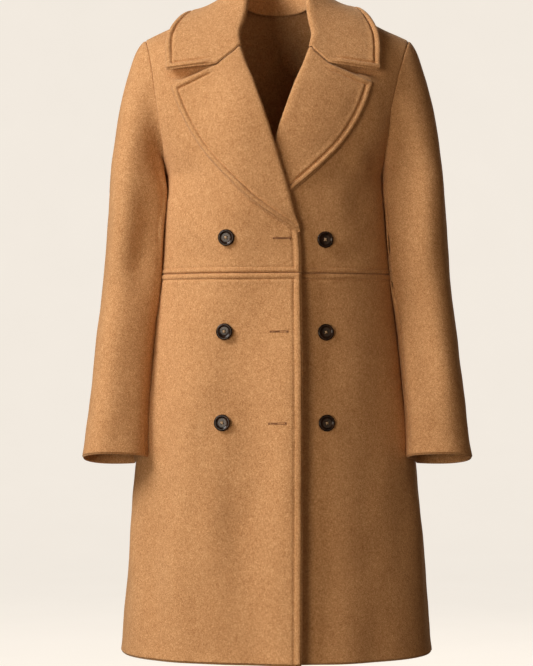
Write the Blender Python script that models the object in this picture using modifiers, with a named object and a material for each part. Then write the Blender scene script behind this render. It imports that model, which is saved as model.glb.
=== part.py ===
"""A double-breasted wool coat, hollow and in the shape it takes when worn, one solid for each cut piece.

Metres, +Z up. The front faces -Y and the coat's own left is +X. The origin is midway between the two
neck points, where the shoulder seams meet the neck and the coat rests on the shoulders.

The body is one smooth skin. A place on it is a pair (course, share). The course runs from the hem up
the front to the ridge of the shoulder seams, over it, and down the back. It is 0 at the front of the
underarm, and it is measured along the side of the coat and then along the armhole. The share runs
across: 0 at the centre line, 1 at the left side seam or armhole, -1 at the right. Every panel is a
stretch of this skin, every layer on it is the same skin moved outwards.
"""
from collections import namedtuple
from math import pi, radians

import bmesh
import bpy
import numpy as np
from mathutils import Matrix, Vector

# ---- cloth and seams --------------------------------------------------------------------------
CLOTH = 0.003              # heavy napped wool
SEAM_GAP = 0.0003          # between two pieces at a seam
LAYER_GAP = 0.0012         # between a piece and the cloth it lies on
ARMHOLE_GAP = 0.0020       # on the inside of the sleeve seam, which folds inwards
SLEEVE_SEAM_GAP = 0.0028   # between the sleeve's two pieces, measured along the armhole
GORGE_GAP = 0.0020         # between the collar and the lapel, whose layers differ in height
RETURN_GAP = 0.0018        # between a front and what turns back inside it
STAND_GAP = 0.0042         # between the upper back and the collar's stand
LAYER = CLOTH + LAYER_GAP
COLLAR_LAYER = CLOTH + 0.0024  # the collar is thick, and springs off the shoulders a little

# ---- heights ----------------------------------------------------------------------------------
HEM_Z = -1.004
WAIST_Z = -0.4235
UNDERARM_Z = -0.272
SHOULDER_Z = -0.063        # the shoulder seam at the armhole
SHOULDER_FALL = 0.082      # from the line of that seam at the centre down to the armhole
FALL_PACE = 1.5            # how late, going up from the underarm, that fall sets in
FALL_SOFT = 0.03           # reach of its soft start at the centre

# ---- armhole, an egg seen from the side ----------------------------------------------------------
ARM_MID_Z = -0.178
ARM_FRONT = 0.062          # its reach forwards and backwards from the middle
ARM_BACK = 0.064
ARM_LOW = ARM_MID_Z - UNDERARM_Z
ARM_HIGH = SHOULDER_Z - ARM_MID_Z
ARM_RADIUS = (ARM_LOW + ARM_HIGH) / 2
RIDGE = ARM_RADIUS * pi    # the course of the shoulder seams
RUNG_BLEND = 0.08          # course above the underarm by which sizes follow the armhole's own length
ARM_STEPS = 11             # points on the armhole from the underarm to the shoulder

# ---- neck -------------------------------------------------------------------------------------
NECK_HALF = 0.070          # from the centre to the neck point
BACK_NECK_DROP = 0.056     # the back neckline's dip, measured along the course
NECK_COLUMN = 0.25         # where across the back half's grid the neck point lies
BLADES = RIDGE / 2         # the course above which the back's rows rise to the neckline

ROUNDNESS = 2.3            # of the sections: 2 is an ellipse, more is boxier
SHALLOWEST = radians(62)   # the least turn of a section between the centre and the armhole
SHARE_STEP = 0.002         # steps over which the skin's slope is taken
COURSE_STEP = 0.0005
HALVINGS = 34              # of the search for a course
AIMS = 4                   # rounds of the search for the skin seen at a place
EDGE_AIMS = 12             # and for where a front's edge crosses a course

Section = namedtuple("Section", "side_z half front back shift")
TORSO = (
    Section(HEM_Z, 0.2365, 0.160, 0.150, -0.001),
    Section(-0.830, 0.2240, 0.150, 0.145, -0.001),
    Section(-0.620, 0.2020, 0.142, 0.140, -0.003),
    Section(WAIST_Z, 0.1780, 0.131, 0.118, -0.004),
    Section(-0.330, 0.1710, 0.133, 0.118, -0.005),
    Section(UNDERARM_Z, 0.1650, 0.132, 0.120, -0.005),
    Section(-0.235, 0.1680, 0.1305, 0.121, -0.005),
    Section(-0.180, 0.1750, 0.1205, 0.117, -0.005),
    Section(-0.125, 0.1855, 0.0945, 0.101, -0.003),
    Section(-0.095, 0.1925, 0.0690, 0.078, -0.001),
    Section(-0.075, 0.1980, 0.0440, 0.052, 0.0),
    Section(-0.066, 0.2010, 0.0220, 0.026, 0.0),
    Section(SHOULDER_Z, 0.2020, 0.0, 0.0, 0.0),
)

# ---- front edges and roll lines, seen from the front -----------------------------------------------
Place = namedtuple("Place", "x z")
RIGHT_EDGE = (
    Place(0.034, -1.100), Place(0.034, -0.400), Place(0.0315, -0.363), Place(0.022, -0.336),
    Place(0.010, -0.296), Place(-0.012, -0.2205), Place(-0.037, -0.146), Place(-0.061, -0.0755),
    Place(-0.067, -0.003), Place(-NECK_HALF, 0.030),
)
LEFT_EDGE = (
    Place(-0.042, -1.100), Place(-0.042, -0.400), Place(-0.040, -0.363), Place(-0.031, -0.336),
    Place(-0.018, -0.296), Place(0.001, -0.2250), Place(0.029, -0.146), Place(0.054, -0.0780),
    Place(0.067, -0.003), Place(NECK_HALF, 0.030),
)
BREAK_Z = -0.363           # where the roll line starts
GORGE_Z = -0.084           # where the collar's seam crosses the roll line

# The right front lies over the left one: how far out, and where it rises to that.
LAP_LIFT = 0.0128
LAP_START_X = -0.130
LAP_FULL_X = -0.048
LAP_TOP_Z = -0.090
LAP_WHOLE_Z = -0.200

# ---- lapels, seen from the front: the outer edge from the break up to the tip --------------------------
RIGHT_LAPEL = (
    Place(0.020, -0.3625), Place(-0.002, -0.345), Place(-0.0415, -0.313), Place(-0.079, -0.277),
    Place(-0.116, -0.232), Place(-0.144, -0.184), Place(-0.1615, -0.139),
)
LEFT_LAPEL = (
    Place(-0.029, -0.3600), Place(-0.010, -0.338), Place(0.018, -0.306), Place(0.061, -0.268),
    Place(0.101, -0.226), Place(0.129, -0.179), Place(0.1455, -0.134),
)
RIGHT_NOTCH = Place(-0.0927, -0.1098)
LEFT_NOTCH = Place(0.078, -0.1069)
RIGHT_COLLAR_CORNER = Place(-0.1690, -0.1158)
LEFT_COLLAR_CORNER = Place(0.1570, -0.1180)
NOTCH_FROM = 0.75          # how far up the lapel its top edge starts to bend down to the notch
FACING_RETURN = 0.010      # what turns back inside past the roll line

# ---- folds over an edge ----------------------------------------------------------------------------
LAPEL_FOLD = (LAYER + RETURN_GAP) / 2
COLLAR_FOLD = (COLLAR_LAYER + RETURN_GAP) / 2
FOLD_TURNS = (35, 90, 145)  # degrees round the roll, from the inside
FOLD_START = 0.0025        # the straight inside ends this far short of the roll
EDGE_STEP = 0.004          # for the direction of an edge
LAPEL_COLUMNS = (0.05, 0.18, 0.34, 0.50, 0.67, 0.84, 1.0)

# ---- collar: stations from the centre back (0) over the neck point (0.5) to the gorge (1) --------------
COLLAR_RISE = ((0.0, 0.050), (0.25, 0.047), (0.5, 0.028), (0.7, 0.010), (0.88, 0.0), (1.0, 0.0))
COLLAR_UPRIGHT = ((0.0, 0.9), (0.3, 0.85), (0.5, 0.6), (0.8, 0.0), (1.0, 0.0))
EdgePlace = namedtuple("EdgePlace", "station x z behind")
COLLAR_EDGE = (
    EdgePlace(0.0, 0.0, -0.057, True),
    EdgePlace(0.26, 0.085, -0.062, True),
    EdgePlace(0.5, 0.152, None, False),    # on the shoulder seam
    EdgePlace(0.76, 0.159, -0.072, False),
)
COLLAR_HALF = 0.163        # at its corners, for these places; each side is scaled to its own corner
COLLAR_COLUMNS = (0.05, 0.16, 0.30, 0.45, 0.62, 0.80, 1.0)
COLLAR_REST = 0.6          # where the fall comes to rest on the body
COLLAR_NOTCH_SHARE = 0.327  # the column of the fall's grid that ends at the notch
NECKLINE_PACE = 0.8        # how the stations are spread between the neck point and the gorge
STATION_STEP = 0.01        # for the direction of the neck seam
COLLAR_CLOSES = 0.72       # the station from which the fall turns to the collar's end
STAND_FOOT = 0.008         # what the stand reaches down inside the neckline

# ---- sleeves, seen as level rings; the cuff's ring leans --------------------------------------------
Ring = namedtuple("Ring", "z x y half_width half_depth lean")
SLEEVE = (
    Ring(-0.300, 0.2150, -0.010, 0.0400, 0.068, 0.0),
    Ring(-0.420, 0.2232, -0.010, 0.0405, 0.064, 0.0),
    Ring(-0.510, 0.2355, -0.022, 0.0378, 0.060, 3.0),
    Ring(-0.620, 0.2460, -0.043, 0.0380, 0.056, 8.0),
    Ring(-0.705, 0.2525, -0.058, 0.0410, 0.051, 11.0),
)
SLEEVE_ROUNDNESS = 2.2
SLEEVE_CLEARANCE = 0.0025  # between the sleeve and the body it hangs against
SLEEVE_HUG = 0.009         # how far the sleeve's inner wall may settle against the body
HUG_SPREAD = 1.3           # how wide that stretch of the wall is
HEAD_PULL = 0.115          # how far the sleeve head runs on in the shoulder's line
UNDERARM_PULL = 0.078      # and how far it runs outwards under the arm
RING_PULL = 0.9            # how far it comes straight down, as a share of its length
CAP_SETTLES = 0.3          # share of its length by which it is clear of the body
SEAM_STEP = 0.001          # for the direction of the armhole
SLEEVE_SETTLE = 0.012      # above the underarm, where the sleeve starts to hang clear of the body
SLEEVE_FULLNESS = 0.4      # how far the cap stands out of the front and back at its seam
CAP_ROWS = (0.0, 0.09, 0.2, 0.34, 0.5, 0.66, 0.82, 1.0)
LOWER_ROWS = 8
FRONT_SEAM_STEP = 2        # armhole points from the underarm, up the front, to the sleeve's front seam
BACK_SEAM_STEP_ROUND = 16  # and on over the shoulder to its back seam

# ---- the skirt's largest folds: soft troughs (-) and swells (+) that start at the waist -----------------
Fold = namedtuple("Fold", "x half_width depth full_z")
FOLD_FADE = 0.05           # distance from the side seams over which folds fade out
FRONT_FOLDS = (
    Fold(-0.142, 0.034, 0.004, -0.70),
    Fold(-0.052, 0.034, -0.006, -0.55),
    Fold(0.016, 0.028, 0.005, -0.60),
    Fold(0.095, 0.035, 0.005, -0.62),
    Fold(0.150, 0.032, -0.004, -0.72),
)
BACK_FOLDS = (
    Fold(-0.120, 0.042, 0.005, -0.66),
    Fold(-0.055, 0.036, -0.005, -0.60),
    Fold(0.020, 0.045, 0.004, -0.72),
    Fold(0.085, 0.036, -0.006, -0.64),
    Fold(0.150, 0.036, 0.004, -0.70),
)

# ---- buttons ----------------------------------------------------------------------------------
BUTTON_RADIUS = 0.0125
BUTTON_THICKNESS = 0.0042
BUTTON_RIM = 0.0030
BUTTON_DISH = 0.0014
BUTTON_HOLE_RADIUS = 0.0011
BUTTON_HOLE_REACH = 0.0024
BUTTON_STEPS = 20          # sides of its round outline
BUTTON_HOLE_STEPS = 8
BUTTON_SIDE = (0.35, 0.72)  # heights of the upright part of its rim, in thicknesses
BUTTON_BACK = 0.84         # radius of its flat back, in radii
BUTTON_SHARP = radians(35)
BUTTON_SHANK = 0.0016      # thread between the button and the cloth
RIGHT_BUTTONS = (Place(-0.0755, -0.371), Place(-0.0790, -0.511), Place(-0.0820, -0.6465))
LEFT_BUTTONS = (Place(0.0706, -0.3735), Place(0.0720, -0.512), Place(0.0730, -0.647))

# ---- fineness of the grids: spans across and along ---------------------------------------------------
FRONT_SPANS = 10
BACK_SPANS = 16
BODICE_ROWS = 4            # from the waist to the underarm
SKIRT_SPANS = 14
SKIRT_ROWS = 8
LAPEL_ROWS = 12
COLLAR_SPANS = 26

WOOL = ((0.43, 0.26, 0.13), 0.9)
HORN = ((0.045, 0.020, 0.012), 0.25)


# ---- curves ------------------------------------------------------------------------------------
def smooth_line(places, values):
    """The smooth curve through the given values, which never swings past them."""
    places = np.array(places, float)
    values = np.array(values, float)
    steps = np.diff(places)
    slopes = np.diff(values) / steps
    tangents = np.zeros(len(places))
    tangents[0] = slopes[0]
    tangents[-1] = slopes[-1]
    for i in range(1, len(places) - 1):
        if slopes[i - 1] * slopes[i] > 0:
            before = 2 * steps[i] + steps[i - 1]
            after = steps[i] + 2 * steps[i - 1]
            tangents[i] = (before + after) / (before / slopes[i - 1] + after / slopes[i])

    def value_at(place):
        place = np.clip(place, places[0], places[-1])
        i = np.clip(np.searchsorted(places, place) - 1, 0, len(places) - 2)
        t = (place - places[i]) / steps[i]
        start = (1 + 2 * t) * (1 - t) ** 2 * values[i] + t * (1 - t) ** 2 * steps[i] * tangents[i]
        end = t * t * (3 - 2 * t) * values[i + 1] + t * t * (t - 1) * steps[i] * tangents[i + 1]
        return start + end

    return value_at


def edge_line(places):
    """x of an edge at a height, from its places listed upwards."""
    return smooth_line([place.z for place in places], [place.x for place in places])


def outline(places):
    """The curve through the places, from 0 at the first to 1 at the last: a function giving (x, z)."""
    xs = np.array([p.x for p in places])
    zs = np.array([p.z for p in places])
    along = np.concatenate(([0], np.cumsum(np.hypot(np.diff(xs), np.diff(zs)))))
    along = along / along[-1]
    x_line = smooth_line(along, xs)
    z_line = smooth_line(along, zs)
    return lambda t: (x_line(t), z_line(t))


def ease(t):
    """0 below 0, 1 above 1, and smooth between."""
    t = np.clip(t, 0, 1)
    return t * t * (3 - 2 * t)


def unit(vectors):
    return vectors / np.linalg.norm(vectors, axis=-1, keepdims=True)


def vectors(x, y, z):
    return np.stack(np.broadcast_arrays(x, y, z), axis=-1).astype(float)


# ---- the body's skin ----------------------------------------------------------------------------
def course_of_side(side_z):
    """The course at a height of the side seam or, above the underarm, of the armhole."""
    if side_z <= UNDERARM_Z:
        return side_z - UNDERARM_Z
    reach = ARM_LOW if side_z < ARM_MID_Z else ARM_HIGH
    return ARM_RADIUS * np.arccos(np.clip((ARM_MID_Z - side_z) / reach, -1, 1))


COURSES = [course_of_side(s.side_z) for s in TORSO]
half_line = smooth_line(COURSES, [s.half for s in TORSO])
front_line = smooth_line(COURSES, [s.front for s in TORSO])
back_line = smooth_line(COURSES, [s.back for s in TORSO])
shift_line = smooth_line(COURSES, [s.shift for s in TORSO])


def section_at(course):
    """Sizes of the body's section at a course: heights at the side and centre, widths and depths."""
    back = course > RIDGE
    run = np.where(back, 2 * RIDGE - course, course)
    angle = np.clip(run, 0, None) / ARM_RADIUS
    reach = np.where(np.cos(angle) > 0, ARM_LOW, ARM_HIGH)
    side_z = np.where(run < 0, UNDERARM_Z + run, ARM_MID_Z - reach * np.cos(angle))
    climb = np.clip((side_z - UNDERARM_Z) / (SHOULDER_Z - UNDERARM_Z), 0, 1)
    centre_z = side_z + SHOULDER_FALL * climb ** FALL_PACE
    rung = np.where(run < 0, run, side_z - UNDERARM_Z)
    rung = rung + (run - rung) * ease(run / RUNG_BLEND)
    depth = np.where(back, back_line(rung), front_line(rung))
    arm_y = np.where(back, ARM_BACK, ARM_FRONT) * np.sin(angle)
    opening = np.arccos(np.clip(arm_y / np.maximum(depth, 1e-6), 0, 1) ** (ROUNDNESS / 2))
    opening = np.maximum(opening, SHALLOWEST)
    return back, side_z, centre_z, half_line(rung), depth, arm_y, opening, shift_line(rung)


def level_share(x, half):
    """How far a place has fallen from the centre's height to the side's: a straight slope, soft at 0."""
    return (np.hypot(x, FALL_SOFT) - FALL_SOFT) / (np.hypot(half, FALL_SOFT) - FALL_SOFT)


def body_point(course, share):
    """A place of the body's inner face."""
    back, side_z, centre_z, half, depth, arm_y, opening, shift = section_at(course)
    power = 2 / ROUNDNESS
    turn = np.abs(share) * opening
    across = half * (np.sin(turn) / np.sin(opening)) ** power
    end = np.cos(opening) ** power
    forward = (np.clip(np.cos(turn), 0, 1) ** power - end) / (1 - end)
    y = SEAM_GAP / 2 + arm_y + (depth - arm_y) * forward
    z = centre_z - (centre_z - side_z) * level_share(across, half)
    return vectors(shift + np.sign(share) * across, np.where(back, y, -y), z)


def body_normal(course, share):
    """The way out of the body at a place of its skin."""
    low = np.clip(share - SHARE_STEP, -1, 1)
    high = np.clip(share + SHARE_STEP, -1, 1)
    upwards = body_point(course + COURSE_STEP, share) - body_point(course - COURSE_STEP, share)
    across = body_point(course, high) - body_point(course, low)
    normal = unit(np.cross(across, upwards))
    point = body_point(course, share)
    outwards = point - vectors(0, 0, np.minimum(point[..., 2], UNDERARM_Z))
    facing = np.sum(normal * outwards, axis=-1, keepdims=True)
    return np.where(facing < 0, -normal, normal)


def share_of_x(course, x):
    """The share at which the body's section passes x."""
    _, _, _, half, _, _, opening, shift = section_at(course)
    across = np.clip(np.abs(x - shift) / half, 0, 1) ** (ROUNDNESS / 2)
    return np.sign(x - shift) * np.arcsin(np.clip(across * np.sin(opening), 0, 1)) / opening


def course_of_place(x, z, back=False):
    """The course on the front, or on the back, that passes x at the height z."""
    low = np.full(np.shape(z), COURSES[0])
    high = np.full(np.shape(z), RIDGE)
    for _ in range(HALVINGS):
        middle = (low + high) / 2
        _, side_z, centre_z, half, _, _, _, shift = section_at(middle)
        fall = level_share(np.minimum(np.abs(x - shift), half), half)
        below = centre_z - (centre_z - side_z) * fall < z
        low = np.where(below, middle, low)
        high = np.where(below, high, middle)
    return 2 * RIDGE - low if back else low


def folds(point):
    """How far the skirt's folds stand out (+) or in (-) at a place."""
    x, y, z = np.moveaxis(point, -1, 0)
    total = np.zeros(np.shape(x))
    for table, there in ((FRONT_FOLDS, y < 0), (BACK_FOLDS, y >= 0)):
        for fold in table:
            spread = np.exp(-((x - fold.x) / fold.half_width) ** 2)
            grown = ease((WAIST_Z - z) / (WAIST_Z - fold.full_z))
            total = total + there * fold.depth * spread * grown
    return total * ease(np.abs(y) / FOLD_FADE)


def lap(point):
    """How far the right front is lifted over the left one at a place."""
    x, _, z = np.moveaxis(point, -1, 0)
    across = ease((x - LAP_START_X) / (LAP_FULL_X - LAP_START_X))
    return LAP_LIFT * across * ease((LAP_TOP_Z - z) / (LAP_TOP_Z - LAP_WHOLE_Z))


def skin(course, share, height=0.0, lapped=0.0):
    """A place at a height over the body's skin; lapped is 1 on the right front, which laps over."""
    point = body_point(course, share)
    lift = folds(point) + height + lap(point) * lapped
    return point + body_normal(course, share) * np.expand_dims(lift, -1)


def front_place(x, z, height, lapped):
    """The place at a height over the front's skin that is seen at x and z, and the way out there."""
    x, z = np.broadcast_arrays(np.asarray(x, float), np.asarray(z, float))
    at_x, at_z = x, z
    for _ in range(AIMS):
        course = course_of_place(at_x, at_z)
        share = share_of_x(course, at_x)
        point = skin(course, share, height, lapped)
        at_x = at_x + x - point[..., 0]
        at_z = at_z + z - point[..., 2]
    return point, body_normal(course, share)


# ---- making the pieces ------------------------------------------------------------------------
def add_object(name, mesh, parts, parent, finish):
    colour, roughness = finish
    if not mesh.materials:
        made = bpy.data.materials.new(name)
        made.use_nodes = True
        shader = made.node_tree.nodes["Principled BSDF"]
        shader.inputs["Base Color"].default_value = (*colour, 1.0)
        shader.inputs["Roughness"].default_value = roughness
        shader.inputs["Metallic"].default_value = 0.0
        mesh.materials.append(made)
    piece = bpy.data.objects.new(name, mesh)
    piece.parent = parent
    parts.objects.link(piece)
    return piece


def cloth_piece(name, place, spans, rows, flipped, parts, parent):
    """A wall of cloth on the grid of places that place(u, v) gives, u and v from 0 to 1."""
    grid = bmesh.new()
    bmesh.ops.create_grid(grid, x_segments=spans, y_segments=rows, size=1.0)
    corners = list(grid.verts)
    u = np.array([(corner.co.x + 1) / 2 for corner in corners])
    v = np.array([(corner.co.y + 1) / 2 for corner in corners])
    for corner, spot in zip(corners, place(u, v)):
        corner.co = Vector(spot)
    if flipped:
        bmesh.ops.reverse_faces(grid, faces=grid.faces)
    mesh = bpy.data.meshes.new(name)
    grid.to_mesh(mesh)
    grid.free()
    mesh.shade_smooth()
    piece = add_object(name, mesh, parts, parent, WOOL)
    wall = piece.modifiers.new("cloth", "SOLIDIFY")
    wall.thickness = CLOTH
    wall.offset = 1.0
    return piece


def stops(values):
    """Reads a list of values, evenly spaced from 0 to 1."""
    return lambda t: np.interp(t, np.linspace(0, 1, len(values)), values)


# ---- fronts, back and skirts ----------------------------------------------------------------------
WAIST_COURSE = course_of_side(WAIST_Z)
BODICE_COURSES = (
    [WAIST_COURSE + SEAM_GAP / 2]
    + [WAIST_COURSE * (1 - k / BODICE_ROWS) for k in range(1, BODICE_ROWS)]
    + [RIDGE * k / ARM_STEPS for k in range(ARM_STEPS + 1)]
)
SKIRT_COURSES = (COURSES[0], WAIST_COURSE - SEAM_GAP / 2)


def front_panel(front, courses):
    """The grid of a front: u from its inner edge to the side seam or armhole, v upwards."""
    course_at = stops(courses)

    def place(u, v):
        course = course_at(v)
        _, side_z, centre_z, half, _, _, _, shift = section_at(course)
        inner = front.edge_x(centre_z)
        for _ in range(EDGE_AIMS):
            fall = level_share(np.minimum(np.abs(inner - shift), half), half)
            inner = front.edge_x(centre_z - (centre_z - side_z) * fall)
        start = share_of_x(course, inner)
        return skin(course, start + (front.side - start) * u, 0.0, front.lapped)

    return place


def back_neck_course(share):
    """How far up a column of the back reaches: to the shoulder seam, or less under the neck."""
    across = np.abs(body_point(np.full(np.shape(share), RIDGE), share)[..., 0]) / NECK_HALF
    return RIDGE - BACK_NECK_DROP * np.sqrt(np.clip(1 - across ** 2, 0, 1))


def back_bodice_place(u, v):
    """The grid of the upper back: u from the right side to the left, v upwards, a column on each neck
    point."""
    neck_share = share_of_x(np.array(RIDGE), np.array(NECK_HALF))
    signed = 2 * u - 1
    share = np.sign(signed) * np.interp(np.abs(signed), (0, NECK_COLUMN, 1), (0, neck_share, 1))
    run = stops(BODICE_COURSES)(v)
    top = back_neck_course(share)
    top = np.where(top < RIDGE, top - STAND_GAP, top)
    upper = BLADES + (top - BLADES) * (run - BLADES) / (RIDGE - BLADES)
    return skin(2 * RIDGE - np.where(run > BLADES, upper, run), share)


def back_skirt_place(u, v):
    return skin(2 * RIDGE - stops(SKIRT_COURSES)(v), 2 * u - 1)


# ---- sleeves ----------------------------------------------------------------------------------
def armhole_point(course, side):
    """A place of the armhole, from the underarm up the front (0), over the shoulder and down the back."""
    return body_point(np.mod(course, 2 * RIDGE), np.full(np.shape(course), side * 1.0))


def clear_of_body(places, side, share=1.0):
    """Moves the sleeve's places out past the body's wall, where they would touch it, or a share of it."""
    out, forth, up = np.moveaxis(places, -1, 0)
    run = np.minimum(up - UNDERARM_Z, 0)
    depth = np.where(forth < 0, front_line(run), back_line(run))
    bulge = np.clip(1 - (np.abs(forth) / depth) ** ROUNDNESS, 0, 1) ** (1 / ROUNDNESS)
    wall = half_line(run) * bulge + side * shift_line(run)
    wall = wall + np.maximum(folds(vectors(side * wall, forth, up)), 0)
    pushed = np.maximum(out, wall + 2 * CLOTH + SLEEVE_CLEARANCE)
    near = ease((UNDERARM_Z + SLEEVE_SETTLE - up) / SLEEVE_SETTLE)
    return vectors(out + (pushed - out) * near * share, forth, up)


def sleeve_ring(turn, level, side):
    """Places round the sleeve below its cap; turn is 0 at the front and a quarter turn at the outside."""
    down = [-ring.z for ring in SLEEVE]
    x, y, half_width, half_depth, lean = [
        smooth_line(down, [getattr(ring, size) for ring in SLEEVE])(-level)
        for size in ("x", "y", "half_width", "half_depth", "lean")
    ]
    power = 2 / SLEEVE_ROUNDNESS
    out = x + half_width * np.sign(np.sin(turn)) * np.abs(np.sin(turn)) ** power
    forth = y - half_depth * np.sign(np.cos(turn)) * np.abs(np.cos(turn)) ** power
    up = level - np.tan(np.radians(lean)) * (forth - y)
    out = out - SLEEVE_HUG * ease(-HUG_SPREAD * np.sin(turn))
    return clear_of_body(vectors(out, forth, up), side)


def sleeve_cap(course, t, side):
    """Places between the armhole (t = 0) and the sleeve's first ring (t = 1), outwards along +x."""
    turn = course / ARM_RADIUS - pi / 2
    seam = np.mod(course, 2 * RIDGE)
    normal = body_normal(seam, np.full(np.shape(course), side * 1.0))
    ahead = unit(armhole_point(course + SEAM_STEP, side) - armhole_point(course - SEAM_STEP, side))
    leave = np.cross(ahead, normal) * side
    start = armhole_point(course, side) + leave * ARMHOLE_GAP
    leave = unit(leave + normal * np.expand_dims(SLEEVE_FULLNESS * np.abs(np.cos(turn)), -1))
    start[..., 0] *= side
    leave[..., 0] *= side
    end = sleeve_ring(turn, np.full(np.shape(course), SLEEVE[0].z), side)
    height = (start[..., 2:] - UNDERARM_Z) / (SHOULDER_Z - UNDERARM_Z)
    leave = leave * (UNDERARM_PULL + (HEAD_PULL - UNDERARM_PULL) * np.clip(height, 0, 1))
    arrive = np.linalg.norm(end - start, axis=-1, keepdims=True) * (0.0, 0.0, -RING_PULL)
    settled = ease(t / CAP_SETTLES)
    t = np.expand_dims(t, -1)
    places = (1 + 2 * t) * (1 - t) ** 2 * start + t * (1 - t) ** 2 * leave
    places = places + t * t * (3 - 2 * t) * end + t * t * (t - 1) * arrive
    return clear_of_body(places, side, settled)


def sleeve_panel(side, first_step, last_step):
    """The grid of a sleeve piece: u round the armhole between two of its points, v down to the cuff."""
    courses = [RIDGE * k / ARM_STEPS for k in range(first_step, last_step + 1)]
    courses[0] += SLEEVE_SEAM_GAP / 2
    courses[-1] -= SLEEVE_SEAM_GAP / 2
    cap_end = (len(CAP_ROWS) - 1) / (len(CAP_ROWS) - 1 + LOWER_ROWS)

    def place(u, v):
        course = stops(courses)(u)
        cap = sleeve_cap(course, stops(CAP_ROWS)(np.clip(v / cap_end, 0, 1)), side)
        level = np.interp(v, (cap_end, 1), (SLEEVE[0].z, SLEEVE[-1].z))
        lower = sleeve_ring(course / ARM_RADIUS - pi / 2, level, side)
        places = np.where(np.expand_dims(v, -1) < cap_end, cap, lower)
        places[..., 0] *= side
        return places

    return place


# ---- lapels and collar: folded over an edge, with a return inside ----------------------------------------
def folded(column, inside, rolled, laid):
    """Picks each column's place: the return inside, the roll, or what lies outside."""
    column = np.expand_dims(column, -1)
    return np.where(column < 2, inside, np.where(column < 2 + len(FOLD_TURNS), rolled, laid))


def fold_stops(t, across, foot):
    """Of a folded piece's columns: their number, the return's reach, the roll's turn, the outer share."""
    last = 1 + len(FOLD_TURNS) + len(across)
    column = np.rint(t * last).astype(int)
    reach = np.where(column == 0, foot, FOLD_START)
    turn = np.radians(FOLD_TURNS)[np.clip(column - 2, 0, len(FOLD_TURNS) - 1)]
    share = np.array(across)[np.clip(column - 2 - len(FOLD_TURNS), 0, len(across) - 1)]
    return column, np.expand_dims(reach, -1), np.expand_dims(turn, -1), share


def facing_panel(front):
    """The grid of a lapel: u from its return inside, round the roll, to the outer edge; v upwards."""
    outer_edge = outline(front.lapel)
    gorge_x = float(front.edge_x(GORGE_Z))
    bend = (front.notch.x - gorge_x) / (front.lapel[-1].x - gorge_x)
    dip = GORGE_Z + (front.lapel[-1].z - GORGE_Z) * bend - front.notch.z

    def place(u, v):
        column, reach, turn, share = fold_stops(u, LAPEL_COLUMNS, FACING_RETURN)
        z = BREAK_Z + (GORGE_Z - GORGE_GAP / 2 - BREAK_Z) * v
        edge, normal = front_place(front.edge_x(z), z, 0.0, front.lapped)
        above, _ = front_place(front.edge_x(z + EDGE_STEP), z + EDGE_STEP, 0.0, front.lapped)
        below, _ = front_place(front.edge_x(z - EDGE_STEP), z - EDGE_STEP, 0.0, front.lapped)
        opening = unit(np.cross(normal, above - below)) * front.side
        inside = edge - normal * RETURN_GAP - opening * reach
        rolled = edge + normal * (LAYER - LAPEL_FOLD)
        rolled = rolled + LAPEL_FOLD * (opening * np.sin(turn) - normal * np.cos(turn))
        out_x, out_z = outer_edge(v)
        laid_x = front.edge_x(z) + (out_x - front.edge_x(z)) * share
        laid_z = z + (out_z - z) * share
        dipped = np.interp(share, (0, bend, 1), (0, dip, 0))
        laid_z = laid_z - dipped * ease((v - NOTCH_FROM) / (1 - NOTCH_FROM))
        laid, _ = front_place(laid_x, laid_z, LAYER, front.lapped)
        return folded(column, inside, rolled, laid)

    return place


def neckline(station, front):
    """Course and share of the neck seam at a station of the collar, on one front's side."""
    behind = NECK_HALF * np.sin(np.clip(station, 0, 0.5) * pi)
    share_behind = share_of_x(np.full(np.shape(station), RIDGE), behind)
    z = (GORGE_Z + GORGE_GAP / 2) * np.clip(2 * station - 1, 0, 1) ** NECKLINE_PACE
    x = front.edge_x(z)
    course_ahead = course_of_place(x, z)
    ahead = station > 0.5
    course = np.where(ahead, course_ahead, 2 * RIDGE - back_neck_course(share_behind))
    return course, np.where(ahead, share_of_x(course_ahead, x), front.side * share_behind)


def collar_edge(front):
    """Course and share of the collar's outer edge, by station, on one front's side."""
    places = [(p.x * front.corner.x / COLLAR_HALF, p.z, p.behind) for p in COLLAR_EDGE]
    places.append((front.corner.x, front.corner.z, False))
    courses = []
    shares = []
    for x, z, behind in places:
        course = RIDGE if z is None else float(course_of_place(np.array(x), np.array(z), behind))
        courses.append(course)
        shares.append(float(share_of_x(np.array(course), np.array(x))))
    stations = [p.station for p in COLLAR_EDGE] + [1.0]
    return smooth_line(stations, courses), smooth_line(stations, shares)


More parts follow.
